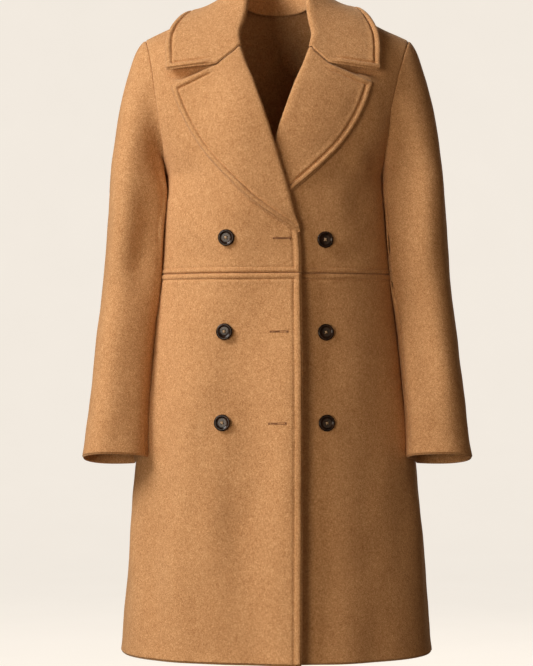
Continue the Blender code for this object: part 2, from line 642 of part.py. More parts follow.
def collar_half(station, v, front):
    """Places of the collar at stations from the centre back (0) to the gorge (1) on one side."""
    edge_course, edge_share = collar_edge(front)
    column, reach, turn, share = fold_stops(v, COLLAR_COLUMNS, STAND_FOOT)
    course, neck_share = neckline(station, front)
    neck = skin(course, neck_share, 0.0, front.lapped)
    normal = body_normal(course, neck_share)
    ahead = skin(*neckline(np.clip(station + STATION_STEP, 0, 1), front), 0.0, front.lapped)
    before = skin(*neckline(np.clip(station - STATION_STEP, 0, 1), front), 0.0, front.lapped)
    along = unit(ahead - before)
    upright = np.expand_dims(smooth_line(*zip(*COLLAR_UPRIGHT))(station), -1)
    out = normal * (1 - upright) + unit(neck * (1.0, 1.0, 0.0)) * upright
    out = unit(out - along * np.sum(out * along, axis=-1, keepdims=True))
    up = np.cross(along, out) * front.side
    rise = up * np.expand_dims(smooth_line(*zip(*COLLAR_RISE))(station), -1)

    inside = neck - up * reach - out * RETURN_GAP
    rolled = neck + normal * (COLLAR_LAYER - COLLAR_FOLD) + rise
    rolled = rolled + COLLAR_FOLD * (up * np.sin(turn) - out * np.cos(turn))

    def laid_at(station):
        start_course, start_share = neckline(station, front)
        return skin(start_course + (edge_course(station) - start_course) * share,
                    start_share + (edge_share(station) - start_share) * share,
                    COLLAR_LAYER, front.lapped)

    laid = laid_at(station) + rise * np.expand_dims(np.clip(1 - share / COLLAR_REST, 0, 1) ** 2, -1)
    knots = (0, COLLAR_NOTCH_SHARE, 1)
    end_x = np.interp(share, knots, (float(front.edge_x(GORGE_Z)), front.notch.x, front.corner.x))
    end_z = np.interp(share, knots, (GORGE_Z, front.notch.z, front.corner.z)) + GORGE_GAP
    end, _ = front_place(end_x, end_z, COLLAR_LAYER, front.lapped)
    closing = np.expand_dims(ease((station - COLLAR_CLOSES) / (1 - COLLAR_CLOSES)), -1)
    laid = laid + (end - laid_at(np.ones(np.shape(station)))) * closing
    return folded(column, inside, rolled, laid)


def collar_place(u, v):
    """The grid of the collar: u from the right gorge round the back to the left one, v to the edge."""
    station = 2 * u - 1
    right = collar_half(np.abs(station), v, RIGHT_FRONT)
    left = collar_half(np.abs(station), v, LEFT_FRONT)
    return np.where(np.expand_dims(station, -1) < 0, right, left)


# ---- buttons ----------------------------------------------------------------------------------
def button_mesh():
    """A turned button, domed behind and dished in front within a raised rim, with four holes."""
    face = BUTTON_THICKNESS - BUTTON_DISH
    rim_inner = BUTTON_RADIUS - BUTTON_RIM
    profile = (
        (0, face), (rim_inner - BUTTON_DISH / 2, face), (rim_inner + BUTTON_DISH / 2, BUTTON_THICKNESS),
        (BUTTON_RADIUS - BUTTON_RIM / 3, BUTTON_THICKNESS),
        (BUTTON_RADIUS, BUTTON_THICKNESS * BUTTON_SIDE[1]),
        (BUTTON_RADIUS, BUTTON_THICKNESS * BUTTON_SIDE[0]), (BUTTON_RADIUS * BUTTON_BACK, 0), (0, 0),
    )
    turned = bpy.data.meshes.new("button_profile")
    edges = [(k, k + 1) for k in range(len(profile) - 1)]
    turned.from_pydata([(r, 0, z) for r, z in profile], edges, [])
    blank = bpy.data.objects.new("button_blank", turned)
    bpy.context.scene.collection.objects.link(blank)
    screw = blank.modifiers.new("turned", "SCREW")
    screw.steps = BUTTON_STEPS
    screw.render_steps = BUTTON_STEPS
    screw.use_merge_vertices = True
    screw.merge_threshold = 0.0001

    drills = bmesh.new()
    for k in range(4):
        turn = Matrix.Rotation(radians(45 + 90 * k), 4, "Z")
        shift = Matrix.Translation((BUTTON_HOLE_REACH, 0, BUTTON_THICKNESS / 2))
        bmesh.ops.create_cone(drills, cap_ends=True, segments=BUTTON_HOLE_STEPS,
                              radius1=BUTTON_HOLE_RADIUS, radius2=BUTTON_HOLE_RADIUS,
                              depth=3 * BUTTON_THICKNESS, matrix=turn @ shift)
    drill_mesh = bpy.data.meshes.new("button_drills")
    drills.to_mesh(drill_mesh)
    drills.free()
    drill = bpy.data.objects.new("button_drills", drill_mesh)
    bpy.context.scene.collection.objects.link(drill)
    holes = blank.modifiers.new("holes", "BOOLEAN")
    holes.object = drill
    holes.solver = "EXACT"

    made = blank.evaluated_get(bpy.context.evaluated_depsgraph_get())
    mesh = bpy.data.meshes.new_from_object(made)
    mesh.name = "button"
    mesh.shade_smooth()
    mesh.set_sharp_from_angle(angle=BUTTON_SHARP)
    bpy.data.objects.remove(blank)
    bpy.data.objects.remove(drill)
    return mesh


def sew_buttons(front, mesh, parts, parent):
    for k, spot in enumerate(front.buttons):
        place, normal = front_place(spot.x, spot.z, CLOTH + BUTTON_SHANK, front.lapped)
        button = add_object(f"{front.name}_button_{k + 1}", mesh, parts, parent, HORN)
        button.location = Vector(place)
        button.rotation_mode = "QUATERNION"
        button.rotation_quaternion = Vector(normal).to_track_quat("Z", "Y")


# ---- the coat -----------------------------------------------------------------------------------
Front = namedtuple("Front", "name side lapped edge_x lapel notch corner buttons")
RIGHT_FRONT = Front("right", -1, 1.0, edge_line(RIGHT_EDGE), RIGHT_LAPEL, RIGHT_NOTCH,
                    RIGHT_COLLAR_CORNER, RIGHT_BUTTONS)
LEFT_FRONT = Front("left", 1, 0.0, edge_line(LEFT_EDGE), LEFT_LAPEL, LEFT_NOTCH,
                   LEFT_COLLAR_CORNER, LEFT_BUTTONS)


def make_coat():
    for old in list(bpy.data.objects):
        bpy.data.objects.remove(old)
    parts = bpy.data.collections.new("coat")
    bpy.context.scene.collection.children.link(parts)
    parent = bpy.data.objects.new("coat", None)
    parts.objects.link(parent)

    button = button_mesh()
    facing_spans = 1 + len(FOLD_TURNS) + len(LAPEL_COLUMNS)
    collar_spans = 1 + len(FOLD_TURNS) + len(COLLAR_COLUMNS)
    sleeve_rows = len(CAP_ROWS) - 1 + LOWER_ROWS
    top_spans = BACK_SEAM_STEP_ROUND - FRONT_SEAM_STEP
    under_spans = 2 * ARM_STEPS - top_spans
    for front in (RIGHT_FRONT, LEFT_FRONT):
        mirrored = front.side < 0
        cloth_piece(f"{front.name}_front_bodice", front_panel(front, BODICE_COURSES),
                    FRONT_SPANS, len(BODICE_COURSES) - 1, mirrored, parts, parent)
        cloth_piece(f"{front.name}_front_skirt", front_panel(front, SKIRT_COURSES),
                    SKIRT_SPANS, SKIRT_ROWS, mirrored, parts, parent)
        cloth_piece(f"{front.name}_facing", facing_panel(front),
                    facing_spans, LAPEL_ROWS, mirrored, parts, parent)
        cloth_piece(f"{front.name}_top_sleeve",
                    sleeve_panel(front.side, FRONT_SEAM_STEP, BACK_SEAM_STEP_ROUND),
                    top_spans, sleeve_rows, not mirrored, parts, parent)
        cloth_piece(f"{front.name}_under_sleeve",
                    sleeve_panel(front.side, BACK_SEAM_STEP_ROUND, 2 * ARM_STEPS + FRONT_SEAM_STEP),
                    under_spans, sleeve_rows, not mirrored, parts, parent)
        sew_buttons(front, button, parts, parent)
    cloth_piece("back_bodice", back_bodice_place, BACK_SPANS, len(BODICE_COURSES) - 1, True,
                parts, parent)
    cloth_piece("back_skirt", back_skirt_place, BACK_SPANS, SKIRT_ROWS, True, parts, parent)
    cloth_piece("collar", collar_place, COLLAR_SPANS, collar_spans, False, parts, parent)


make_coat()
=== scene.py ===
"""The looks of a double-breasted wool coat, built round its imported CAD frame.

Metres, +Z up, the front faces -Y and the coat's own left is +X. Each cloth panel is a napped wool wall on
the skin of its CAD panel, with its seams, topstitching and creases. A place on the coat's body is a pair
(course, share): the course runs from the hem up the front to the shoulder seams and down the back, and
the share runs across, from -1 at the right side seam or armhole over 0 at the centre line to 1.
"""

from collections import namedtuple
from math import cos, pi, radians, sin

import bmesh
import bpy
import numpy as np
from mathutils import Matrix, Vector, noise


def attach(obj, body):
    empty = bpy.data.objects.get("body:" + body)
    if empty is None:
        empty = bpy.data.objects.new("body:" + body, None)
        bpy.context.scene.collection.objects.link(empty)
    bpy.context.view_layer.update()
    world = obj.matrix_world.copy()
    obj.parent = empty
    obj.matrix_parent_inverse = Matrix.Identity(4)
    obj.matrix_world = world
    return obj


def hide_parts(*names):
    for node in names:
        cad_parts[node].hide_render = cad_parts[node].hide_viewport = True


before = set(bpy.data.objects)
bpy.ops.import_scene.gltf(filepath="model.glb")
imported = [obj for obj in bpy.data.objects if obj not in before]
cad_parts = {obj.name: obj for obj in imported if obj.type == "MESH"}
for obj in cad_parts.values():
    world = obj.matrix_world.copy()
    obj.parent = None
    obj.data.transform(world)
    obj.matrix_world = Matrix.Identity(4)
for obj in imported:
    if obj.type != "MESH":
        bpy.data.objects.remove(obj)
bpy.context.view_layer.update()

bl_info = {
    "name": "Double-breasted Wool Coat",
    "version": (1, 0, 0),
    "blender": (4, 5, 0),
    "location": "View3D > Sidebar > Coat",
    "description": "Builds the panels, stitching, buttons and studio of a wool coat",
    "category": "Object",
}

# ---- cloth and seams --------------------------------------------------------------------------
CLOTH = 0.003              # heavy napped wool
SEAM_GAP = 0.0003          # between two pieces at a seam
LAYER_GAP = 0.0012         # between a piece and the cloth it lies on
ARMHOLE_GAP = 0.0003       # on the inside of the sleeve seam
SLEEVE_SEAM_GAP = 0.0003   # between the sleeve's two pieces, measured along the armhole
GORGE_GAP = 0.0004         # between the collar and the lapel, whose layers differ in height
RETURN_GAP = 0.0018        # between a front and what turns back inside it
STAND_GAP = 0.0012         # between the upper back and the collar's stand
LAYER = CLOTH + LAYER_GAP
COLLAR_LAYER = CLOTH + 2 * LAYER_GAP  # the thick collar springs off the shoulders a little
LAPEL_SPRING = 0.0006      # how far a lapel's outer edge stands off the front
LAPEL_SPRINGS = 0.3        # share of its height, from the break, by which it does so
BREAK_FLAT = 0.12          # and by which it has risen from the front to its own layer
COLLAR_SPRING = 0.0066     # how far the collar's outer edge stands off the shoulders

# ---- heights ----------------------------------------------------------------------------------
HEM_Z = -1.004
WAIST_Z = -0.4235
UNDERARM_Z = -0.272
SHOULDER_Z = -0.063        # the shoulder seam at the armhole
SHOULDER_FALL = 0.082      # from the line of that seam at the centre down to the armhole
FALL_PACE = 1.5            # how late, going up from the underarm, that fall sets in
FALL_SOFT = 0.03           # reach of its soft start at the centre

# ---- armhole, an egg seen from the side ----------------------------------------------------------
ARM_MID_Z = -0.178
ARM_FRONT = 0.062          # its reach forwards and backwards from the middle
ARM_BACK = 0.064
ARM_LOW = ARM_MID_Z - UNDERARM_Z
ARM_HIGH = SHOULDER_Z - ARM_MID_Z
ARM_RADIUS = (ARM_LOW + ARM_HIGH) / 2
RIDGE = ARM_RADIUS * pi    # the course of the shoulder seams
RUNG_BLEND = 0.08          # course above the underarm by which sizes follow the armhole's own length
ARM_STEPS = 11             # points on the armhole from the underarm to the shoulder

# ---- neck -------------------------------------------------------------------------------------
NECK_HALF = 0.070          # from the centre to the neck point
BACK_NECK_DROP = 0.056     # the back neckline's dip, measured along the course
NECK_COLUMN = 0.25         # where across the back half's grid the neck point lies
BLADES = RIDGE / 2         # the course above which the back's rows rise to the neckline

ROUNDNESS = 2.3            # of the sections: 2 is an ellipse, more is boxier
SHALLOWEST = radians(62)   # the least turn of a section between the centre and the armhole
SHARE_STEP = 0.002         # steps over which the skin's slope is taken
COURSE_STEP = 0.0005
HALVINGS = 34              # of the search for a course
AIMS = 4                   # rounds of the search for the skin seen at a place
EDGE_AIMS = 12             # and for where a front's edge crosses a course

Section = namedtuple("Section", "side_z half front back shift")
TORSO = (
    Section(HEM_Z, 0.2365, 0.160, 0.150, -0.001),
    Section(-0.830, 0.2240, 0.150, 0.145, -0.001),
    Section(-0.620, 0.2020, 0.142, 0.140, -0.003),
    Section(WAIST_Z, 0.1780, 0.131, 0.118, -0.004),
    Section(-0.330, 0.1710, 0.133, 0.118, -0.005),
    Section(UNDERARM_Z, 0.1650, 0.132, 0.120, -0.005),
    Section(-0.235, 0.1680, 0.1305, 0.121, -0.005),
    Section(-0.180, 0.1750, 0.1205, 0.117, -0.005),
    Section(-0.125, 0.1855, 0.0945, 0.101, -0.003),
    Section(-0.095, 0.1925, 0.0690, 0.078, -0.001),
    Section(-0.075, 0.1980, 0.0440, 0.052, 0.0),
    Section(-0.066, 0.2010, 0.0220, 0.026, 0.0),
    Section(SHOULDER_Z, 0.2020, 0.0, 0.0, 0.0),
)

# ---- front edges and roll lines, seen from the front -----------------------------------------------
Place = namedtuple("Place", "x z")
RIGHT_EDGE = (
    Place(0.034, -1.100), Place(0.034, -0.400), Place(0.0315, -0.363), Place(0.022, -0.336),
    Place(0.010, -0.296), Place(-0.012, -0.2205), Place(-0.037, -0.146), Place(-0.061, -0.0755),
    Place(-0.067, -0.003), Place(-NECK_HALF, 0.030),
)
LEFT_EDGE = (
    Place(-0.042, -1.100), Place(-0.042, -0.400), Place(-0.040, -0.363), Place(-0.031, -0.336),
    Place(-0.018, -0.296), Place(0.001, -0.2250), Place(0.029, -0.146), Place(0.054, -0.0780),
    Place(0.067, -0.003), Place(NECK_HALF, 0.030),
)
BREAK_Z = -0.363           # where the roll line starts
GORGE_Z = -0.084           # where the collar's seam crosses the roll line

# The right front lies over the left one: how far out, and where it rises to that.
LAP_LIFT = 0.0128
LAP_START_X = -0.130
LAP_FULL_X = -0.048
LAP_TOP_Z = -0.090
LAP_WHOLE_Z = -0.200

# ---- lapels, seen from the front: the outer edge from the break up to the tip --------------------------
RIGHT_LAPEL = (
    Place(0.0292, -0.3645), Place(0.0125, -0.3530), Place(-0.0415, -0.315), Place(-0.079, -0.277),
    Place(-0.116, -0.232), Place(-0.144, -0.184), Place(-0.1615, -0.139),
)
LEFT_LAPEL = (
    Place(-0.0360, -0.3620), Place(-0.018, -0.342), Place(0.018, -0.306), Place(0.061, -0.268),
    Place(0.101, -0.226), Place(0.129, -0.179), Place(0.1455, -0.134),
)
RIGHT_NOTCH = Place(-0.0927, -0.1098)
LEFT_NOTCH = Place(0.078, -0.1069)
RIGHT_COLLAR_CORNER = Place(-0.1690, -0.1158)
LEFT_COLLAR_CORNER = Place(0.1570, -0.1180)
NOTCH_FROM = 0.75          # how far up the lapel its top edge starts to bend down to the notch
FACING_RETURN = 0.010      # what turns back inside past the roll line

# ---- folds over an edge ----------------------------------------------------------------------------
LAPEL_FOLD = (LAYER + RETURN_GAP) / 2
COLLAR_FOLD = (COLLAR_LAYER + RETURN_GAP) / 2
FOLD_TURNS = tuple(range(20, 161, 14))  # degrees round the roll, from the inside
INSIDE_COLUMNS = 5         # grid columns of the return inside
LAID_START = 0.03          # share of the outer part at which the roll comes to lie down
FOLD_START = 0.0025        # the straight inside ends this far short of the roll
EDGE_STEP = 0.004          # for the direction of an edge

# ---- collar: stations from the centre back (0) over the neck point (0.5) to the gorge (1) --------------
COLLAR_RISE = ((0.0, 0.050), (0.25, 0.047), (0.5, 0.028), (0.7, 0.010), (0.88, 0.0), (1.0, 0.0))
COLLAR_UPRIGHT = ((0.0, 0.9), (0.3, 0.85), (0.5, 0.6), (0.8, 0.0), (1.0, 0.0))
EdgePlace = namedtuple("EdgePlace", "station x z behind")
COLLAR_EDGE = (
    EdgePlace(0.0, 0.0, -0.057, True),
    EdgePlace(0.26, 0.085, -0.062, True),
    EdgePlace(0.5, 0.152, None, False),    # on the shoulder seam
    EdgePlace(0.76, 0.159, -0.072, False),
)
COLLAR_HALF = 0.163        # at its corners, for these places; each side is scaled to its own corner
COLLAR_REST = 0.6          # where the fall comes to rest on the body
COLLAR_NOTCH_SHARE = 0.327  # of the fall's depth, at the gorge, up to where the lapel leaves it
NECKLINE_PACE = 0.8        # how the stations are spread between the neck point and the gorge
STATION_STEP = 0.01        # for the direction of the neck seam
COLLAR_CLOSES = 0.72       # the station from which the fall turns to the collar's end
STAND_FOOT = 0.008         # what the stand reaches down inside the neckline

# ---- sleeves, seen as level rings; the cuff's ring leans --------------------------------------------
Ring = namedtuple("Ring", "z x y half_width half_depth lean")
SLEEVE = (
    Ring(-0.300, 0.2150, -0.010, 0.0400, 0.068, 0.0),
    Ring(-0.420, 0.2226, -0.010, 0.0413, 0.064, 0.0),
    Ring(-0.510, 0.2355, -0.022, 0.0378, 0.060, 3.0),
    Ring(-0.620, 0.2460, -0.043, 0.0380, 0.056, 8.0),
    Ring(-0.705, 0.2525, -0.058, 0.0410, 0.051, 11.0),
)
SLEEVE_ROUNDNESS = 2.2
SLEEVE_CLEARANCE = 0.0016  # between the sleeve and the body it hangs against
SLEEVE_HUG = 0.014         # how far the sleeve's inner wall may settle against the body
HUG_SPREAD = 1.3           # how wide that stretch of the wall is
HEAD_PULLS = {-1: 0.088, 1: 0.062}  # how far each sleeve head runs on in the shoulder's line
UNDERARM_PULL = 0.018      # and how far it runs outwards under the arm
RING_PULL = 0.9            # how far it comes straight down, as a share of its length
CAP_SETTLES = 0.3          # share of its length by which it is clear of the body
SEAM_STEP = 0.001          # for the direction of the armhole
SLEEVE_SETTLE = 0.012      # above the underarm, where the sleeve starts to hang clear of the body
SLEEVE_FULLNESS = 0.4      # how far the cap stands out of the front and back at its seam
CAP_SHARE = 0.36           # of the sleeve's length, from the armhole down to the first ring
FRONT_SEAM_STEP = 2        # armhole points from the underarm, up the front, to the sleeve's front seam
BACK_SEAM_STEP_ROUND = 16  # and on over the shoulder to its back seam

# ---- the skirt's largest folds: soft troughs (-) and swells (+) that start at the waist -----------------
Fold = namedtuple("Fold", "x half_width depth full_z")
FOLD_FADE = 0.05           # distance from the side seams over which folds fade out
FRONT_FOLDS = (
    Fold(-0.142, 0.034, 0.004, -0.70),
    Fold(-0.052, 0.034, -0.006, -0.55),
    Fold(0.016, 0.028, 0.005, -0.60),
    Fold(0.095, 0.035, 0.005, -0.62),
    Fold(0.150, 0.032, -0.004, -0.72),
)
BACK_FOLDS = (
    Fold(-0.120, 0.042, 0.005, -0.66),
    Fold(-0.055, 0.036, -0.005, -0.60),
    Fold(0.020, 0.045, 0.004, -0.72),
    Fold(0.085, 0.036, -0.006, -0.64),
    Fold(0.150, 0.036, 0.004, -0.70),
)


# ---- what a user would change ---------------------------------------------------------------------
def colour(name, description, default):
    return bpy.props.FloatVectorProperty(
        name=name, description=description, subtype="COLOR", size=3, min=0.0, max=1.0, default=default)


def length(name, description, default):
    return bpy.props.FloatProperty(
        name=name, description=description, subtype="DISTANCE", unit="LENGTH", min=0.0, default=default)


class CoatSizes(bpy.types.PropertyGroup):
    """Sizes of the coat's stitching, edges and creases."""
    front_margin: length("Front stitching", "From the front edge to its topstitching", 0.0112)
    lapel_margin: length("Lapel stitching", "From the lapel's edge to its topstitching", 0.0108)
    collar_margin: length("Collar stitching", "From the collar's edge to its topstitching", 0.0110)
    upper_margin: length("Waist stitching above", "From the waist seam up to its topstitching", 0.0078)
    lower_margin: length("Waist stitching below", "From the waist seam down to its topstitching", 0.0092)
    stitch_length: length("Stitch length", "Length of thread that shows in each stitch", 0.0034)
    stitch_gap: length("Stitch gap", "Between one stitch and the next", 0.0012)
    thread: length("Thread", "Width of the thread", 0.0007)
    stitch_depth: length("Stitch depth", "How deep the topstitching draws the cloth in", 0.0019)
    edge_puff: length("Edge puff", "How far the cloth swells between an edge and its stitching", 0.0025)
    edge_spring: length("Edge spring", "How far the lapping front springs out along its edge", 0.0082)
    crease_strength: bpy.props.FloatProperty(
        name="Creases", description="Depth of the worn creases, 1 as the coat hangs in use",
        subtype="FACTOR", min=0.0, soft_max=1.5, default=1.0)


class CoatColours(bpy.types.PropertyGroup):
    """Colours of the coat's cloth, thread and buttons."""
    wool: colour("Wool", "Middle tone of the camel wool", (0.525, 0.274, 0.116))
    wool_light: colour("Light fleck", "Lightest fibres of the wool", (0.730, 0.440, 0.218))
    wool_dark: colour("Dark fleck", "Darkest fibres of the wool", (0.335, 0.148, 0.052))
    thread: colour("Thread", "Thread of the topstitching", (0.450, 0.232, 0.098))
    hole_thread: colour("Buttonhole thread", "Thread of the buttonholes", (0.300, 0.135, 0.055))
    horn: colour("Horn", "Dark horn of the buttons", (0.010, 0.0055, 0.004))
    horn_vein: colour("Horn vein", "Lighter veins in the horn", (0.034, 0.015, 0.008))


class CoatStudio(bpy.types.PropertyGroup):
    """Light and backdrop of the studio."""
    backdrop: colour("Backdrop", "Warm off-white of the backdrop", (0.905, 0.845, 0.765))
    key: bpy.props.FloatProperty(
        name="Key light", description="Power of the large soft light at the viewer's left",
        subtype="POWER", unit="POWER", min=0.0, default=204.0)
    fill: bpy.props.FloatProperty(
        name="Fill light", description="Power of the weak warm light at the viewer's right",
        subtype="POWER", unit="POWER", min=0.0, default=15.0)


SETTINGS = {"coat_sizes": CoatSizes, "coat_colours": CoatColours, "coat_studio": CoatStudio}


# ---- finishes -----------------------------------------------------------------------------------
BUTTON_THREAD_TONE = (0.46, 0.31, 0.18)
SLIT_PAINTED_SHADE_TONE = (0.19, 0.078, 0.031)  # painted shade: the dark of the gap between a buttonhole's lips and in its eye


class Finish:
    """A material's node tree, built step by step round its Principled shader."""

    def __init__(self, name):
        self.material = bpy.data.materials.new(name)
        self.material.use_nodes = True
        self.tree = self.material.node_tree
        self.shader = self.tree.nodes["Principled BSDF"]
        self.place = self.add("ShaderNodeTexCoord").outputs["Object"]

    def add(self, kind, **inputs):
        node = self.tree.nodes.new(kind)
        for name, value in inputs.items():
            self.set(node, name.replace("_", " "), value)
        return node

    def set(self, node, name, value):
        socket = node.inputs[name]
        if isinstance(value, bpy.types.NodeSocket):
            self.tree.links.new(value, socket)
        else:
            socket.default_value = value

    def noise(self, size, detail=2.0, rough=0.5, distortion=0.0, stretch=(1.0, 1.0, 1.0)):
        """Noise whose lumps are about the given size in metres."""
        place = self.add("ShaderNodeMapping", Vector=self.place, Scale=stretch)
        return self.add("ShaderNodeTexNoise", Vector=place.outputs["Vector"], Scale=1 / size,
                        Detail=detail, Roughness=rough, Distortion=distortion).outputs["Fac"]

    def ramp(self, value, stops):
        node = self.add("ShaderNodeValToRGB", Fac=value)
        ends = node.color_ramp.elements
        while len(ends) < len(stops):
            ends.new(0.5)
        for end, (at, tone) in zip(ends, stops):
            end.position = at
            end.color = (*tone, 1.0)
        return node.outputs["Color"]

    def sum(self, *weighted):
        """The weighted sum of several values."""
        total = None
        for value, weight in weighted:
            if total is None:
                total = self.tree.nodes.new("ShaderNodeMath")
                total.operation = "MULTIPLY"
                self.tree.links.new(value, total.inputs[0])
                total.inputs[1].default_value = weight
            else:
                more = self.tree.nodes.new("ShaderNodeMath")
                more.operation = "MULTIPLY_ADD"
                self.tree.links.new(value, more.inputs[0])
                more.inputs[1].default_value = weight
                self.tree.links.new(total.outputs[0], more.inputs[2])
                total = more
        return total.outputs[0]

    def bump(self, height, depth, strength=1.0):
        node = self.add("ShaderNodeBump", Height=height, Distance=depth, Strength=strength)
        self.set(self.shader, "Normal", node.outputs["Normal"])


def kept(name):
    """A finish is made once and found again by its name."""
    return bpy.data.materials.get(name)


def wool():
    """Heavy camel wool with a brushed nap: flecks of lighter and darker fibre in soft clusters."""
    if kept("camel_wool"):
        return kept("camel_wool")
    tones = bpy.context.scene.coat_colours
    made = Finish("camel_wool")
    fleck = made.noise(0.0013, detail=3.0, rough=0.7)
    fibre = made.noise(0.0030, detail=4.0, rough=0.75, distortion=0.5, stretch=(1.0, 1.0, 0.8))
    cluster = made.noise(0.011, detail=2.0)
    broad = made.noise(0.085, detail=2.0)
    blend = made.sum((fleck, 0.55), (fibre, 0.33), (cluster, 0.07), (broad, 0.05))
    tone = made.ramp(blend, ((0.38, tones.wool_dark), (0.50, tones.wool), (0.63, tones.wool_light)))
    made.set(made.shader, "Base Color", tone)
    nap = made.noise(0.0011, detail=3.0, rough=0.7)
    tufts = made.noise(0.0042, detail=3.0, rough=0.65, distortion=0.5, stretch=(1.0, 1.0, 0.85))
    made.bump(made.sum((nap, 0.45), (fibre, 0.35), (tufts, 0.6)), 0.0011, 0.75)
    shader = made.shader.inputs
    shader["Roughness"].default_value = 0.92
    shader["Specular IOR Level"].default_value = 0.18
    shader["Sheen Weight"].default_value = 0.22
    shader["Sheen Roughness"].default_value = 0.45
    shader["Sheen Tint"].default_value = (1.0, 0.78, 0.55, 1.0)
    return made.material


def thread_finish(name, tone):
    if kept(name):
        return kept(name)
    made = Finish(name)
    twist = made.noise(0.0005, detail=1.0)
    worn = made.noise(0.004, detail=2.0)
    dark = tuple(0.7 * c for c in tone)
    light = tuple(min(1.0, 1.25 * c) for c in tone)
    shade = made.ramp(made.sum((twist, 0.5), (worn, 0.5)), ((0.35, dark), (0.65, light)))
    made.set(made.shader, "Base Color", shade)
    made.bump(twist, 0.0002, 0.6)
    made.shader.inputs["Roughness"].default_value = 0.6
    made.shader.inputs["Specular IOR Level"].default_value = 0.35
    return made.material


def thread():
    return thread_finish("top_thread", tuple(bpy.context.scene.coat_colours.thread))


def hole_thread():
    return thread_finish("buttonhole_thread", tuple(bpy.context.scene.coat_colours.hole_thread))


def horn():
    """Polished dark horn with faint lighter veins."""
    if kept("dark_horn"):
        return kept("dark_horn")
    tones = bpy.context.scene.coat_colours
    made = Finish("dark_horn")
    veins = made.noise(0.006, detail=4.0, rough=0.6, distortion=1.6, stretch=(1.0, 1.0, 0.3))
    cloud = made.noise(0.012, detail=2.0)
    tone = made.ramp(made.sum((veins, 0.65), (cloud, 0.35)),
                     ((0.42, tones.horn), (0.62, tones.horn_vein)))
    made.set(made.shader, "Base Color", tone)
    scuffs = made.noise(0.0012, detail=3.0, rough=0.7)
    rough = made.ramp(scuffs, ((0.35, (0.13, 0.13, 0.13)), (0.75, (0.24, 0.24, 0.24))))
    made.set(made.shader, "Roughness", rough)
    made.bump(scuffs, 0.0001, 0.25)
    made.shader.inputs["Coat Weight"].default_value = 0.04
    made.shader.inputs["Coat Roughness"].default_value = 0.15
    made.shader.inputs["Specular IOR Level"].default_value = 0.17
    return made.material


# ---- curves ------------------------------------------------------------------------------------
def smooth_line(places, values):
    """The smooth curve through the given values, which never swings past them."""
    places = np.array(places, float)
    values = np.array(values, float)
    steps = np.diff(places)
    slopes = np.diff(values) / steps
    tangents = np.zeros(len(places))
    tangents[0] = slopes[0]
    tangents[-1] = slopes[-1]
    for i in range(1, len(places) - 1):
        if slopes[i - 1] * slopes[i] > 0:
            before = 2 * steps[i] + steps[i - 1]
            after = steps[i] + 2 * steps[i - 1]
            tangents[i] = (before + after) / (before / slopes[i - 1] + after / slopes[i])

    def value_at(place):
        place = np.clip(place, places[0], places[-1])
        i = np.clip(np.searchsorted(places, place) - 1, 0, len(places) - 2)
        t = (place - places[i]) / steps[i]
        start = (1 + 2 * t) * (1 - t) ** 2 * values[i] + t * (1 - t) ** 2 * steps[i] * tangents[i]
        end = t * t * (3 - 2 * t) * values[i + 1] + t * t * (t - 1) * steps[i] * tangents[i + 1]
        return start + end

    return value_at


def edge_line(places):
    """x of an edge at a height, from its places listed upwards."""
    return smooth_line([place.z for place in places], [place.x for place in places])


def outline(places):
    """The curve through the places, from 0 at the first to 1 at the last: a function giving (x, z)."""
    xs = np.array([p.x for p in places])
    zs = np.array([p.z for p in places])
    along = np.concatenate(([0], np.cumsum(np.hypot(np.diff(xs), np.diff(zs)))))
    along = along / along[-1]
    x_line = smooth_line(along, xs)
    z_line = smooth_line(along, zs)
    return lambda t: (x_line(t), z_line(t))


def ease(t):
    """0 below 0, 1 above 1, and smooth between."""
    t = np.clip(t, 0, 1)
    return t * t * (3 - 2 * t)


def unit(vectors):
    return vectors / np.linalg.norm(vectors, axis=-1, keepdims=True)


def vectors(x, y, z):
    return np.stack(np.broadcast_arrays(x, y, z), axis=-1).astype(float)


# ---- the body's skin ----------------------------------------------------------------------------
def course_of_side(side_z):
    """The course at a height of the side seam or, above the underarm, of the armhole."""
    if side_z <= UNDERARM_Z:
        return side_z - UNDERARM_Z
    reach = ARM_LOW if side_z < ARM_MID_Z else ARM_HIGH
    return ARM_RADIUS * np.arccos(np.clip((ARM_MID_Z - side_z) / reach, -1, 1))


COURSES = [course_of_side(s.side_z) for s in TORSO]
half_line = smooth_line(COURSES, [s.half for s in TORSO])
front_line = smooth_line(COURSES, [s.front for s in TORSO])
back_line = smooth_line(COURSES, [s.back for s in TORSO])
shift_line = smooth_line(COURSES, [s.shift for s in TORSO])


def section_at(course):
    """Sizes of the body's section at a course: heights at the side and centre, widths and depths."""
    back = course > RIDGE
    run = np.where(back, 2 * RIDGE - course, course)
    angle = np.clip(run, 0, None) / ARM_RADIUS
    reach = np.where(np.cos(angle) > 0, ARM_LOW, ARM_HIGH)
    side_z = np.where(run < 0, UNDERARM_Z + run, ARM_MID_Z - reach * np.cos(angle))
    climb = np.clip((side_z - UNDERARM_Z) / (SHOULDER_Z - UNDERARM_Z), 0, 1)
    centre_z = side_z + SHOULDER_FALL * climb ** FALL_PACE
    rung = np.where(run < 0, run, side_z - UNDERARM_Z)
    rung = rung + (run - rung) * ease(run / RUNG_BLEND)
    depth = np.where(back, back_line(rung), front_line(rung))
    arm_y = np.where(back, ARM_BACK, ARM_FRONT) * np.sin(angle)
    opening = np.arccos(np.clip(arm_y / np.maximum(depth, 1e-6), 0, 1) ** (ROUNDNESS / 2))
    opening = np.maximum(opening, SHALLOWEST)
    return back, side_z, centre_z, half_line(rung), depth, arm_y, opening, shift_line(rung)


def level_share(x, half):
    """How far a place has fallen from the centre's height to the side's: a straight slope, soft at 0."""
    return (np.hypot(x, FALL_SOFT) - FALL_SOFT) / (np.hypot(half, FALL_SOFT) - FALL_SOFT)


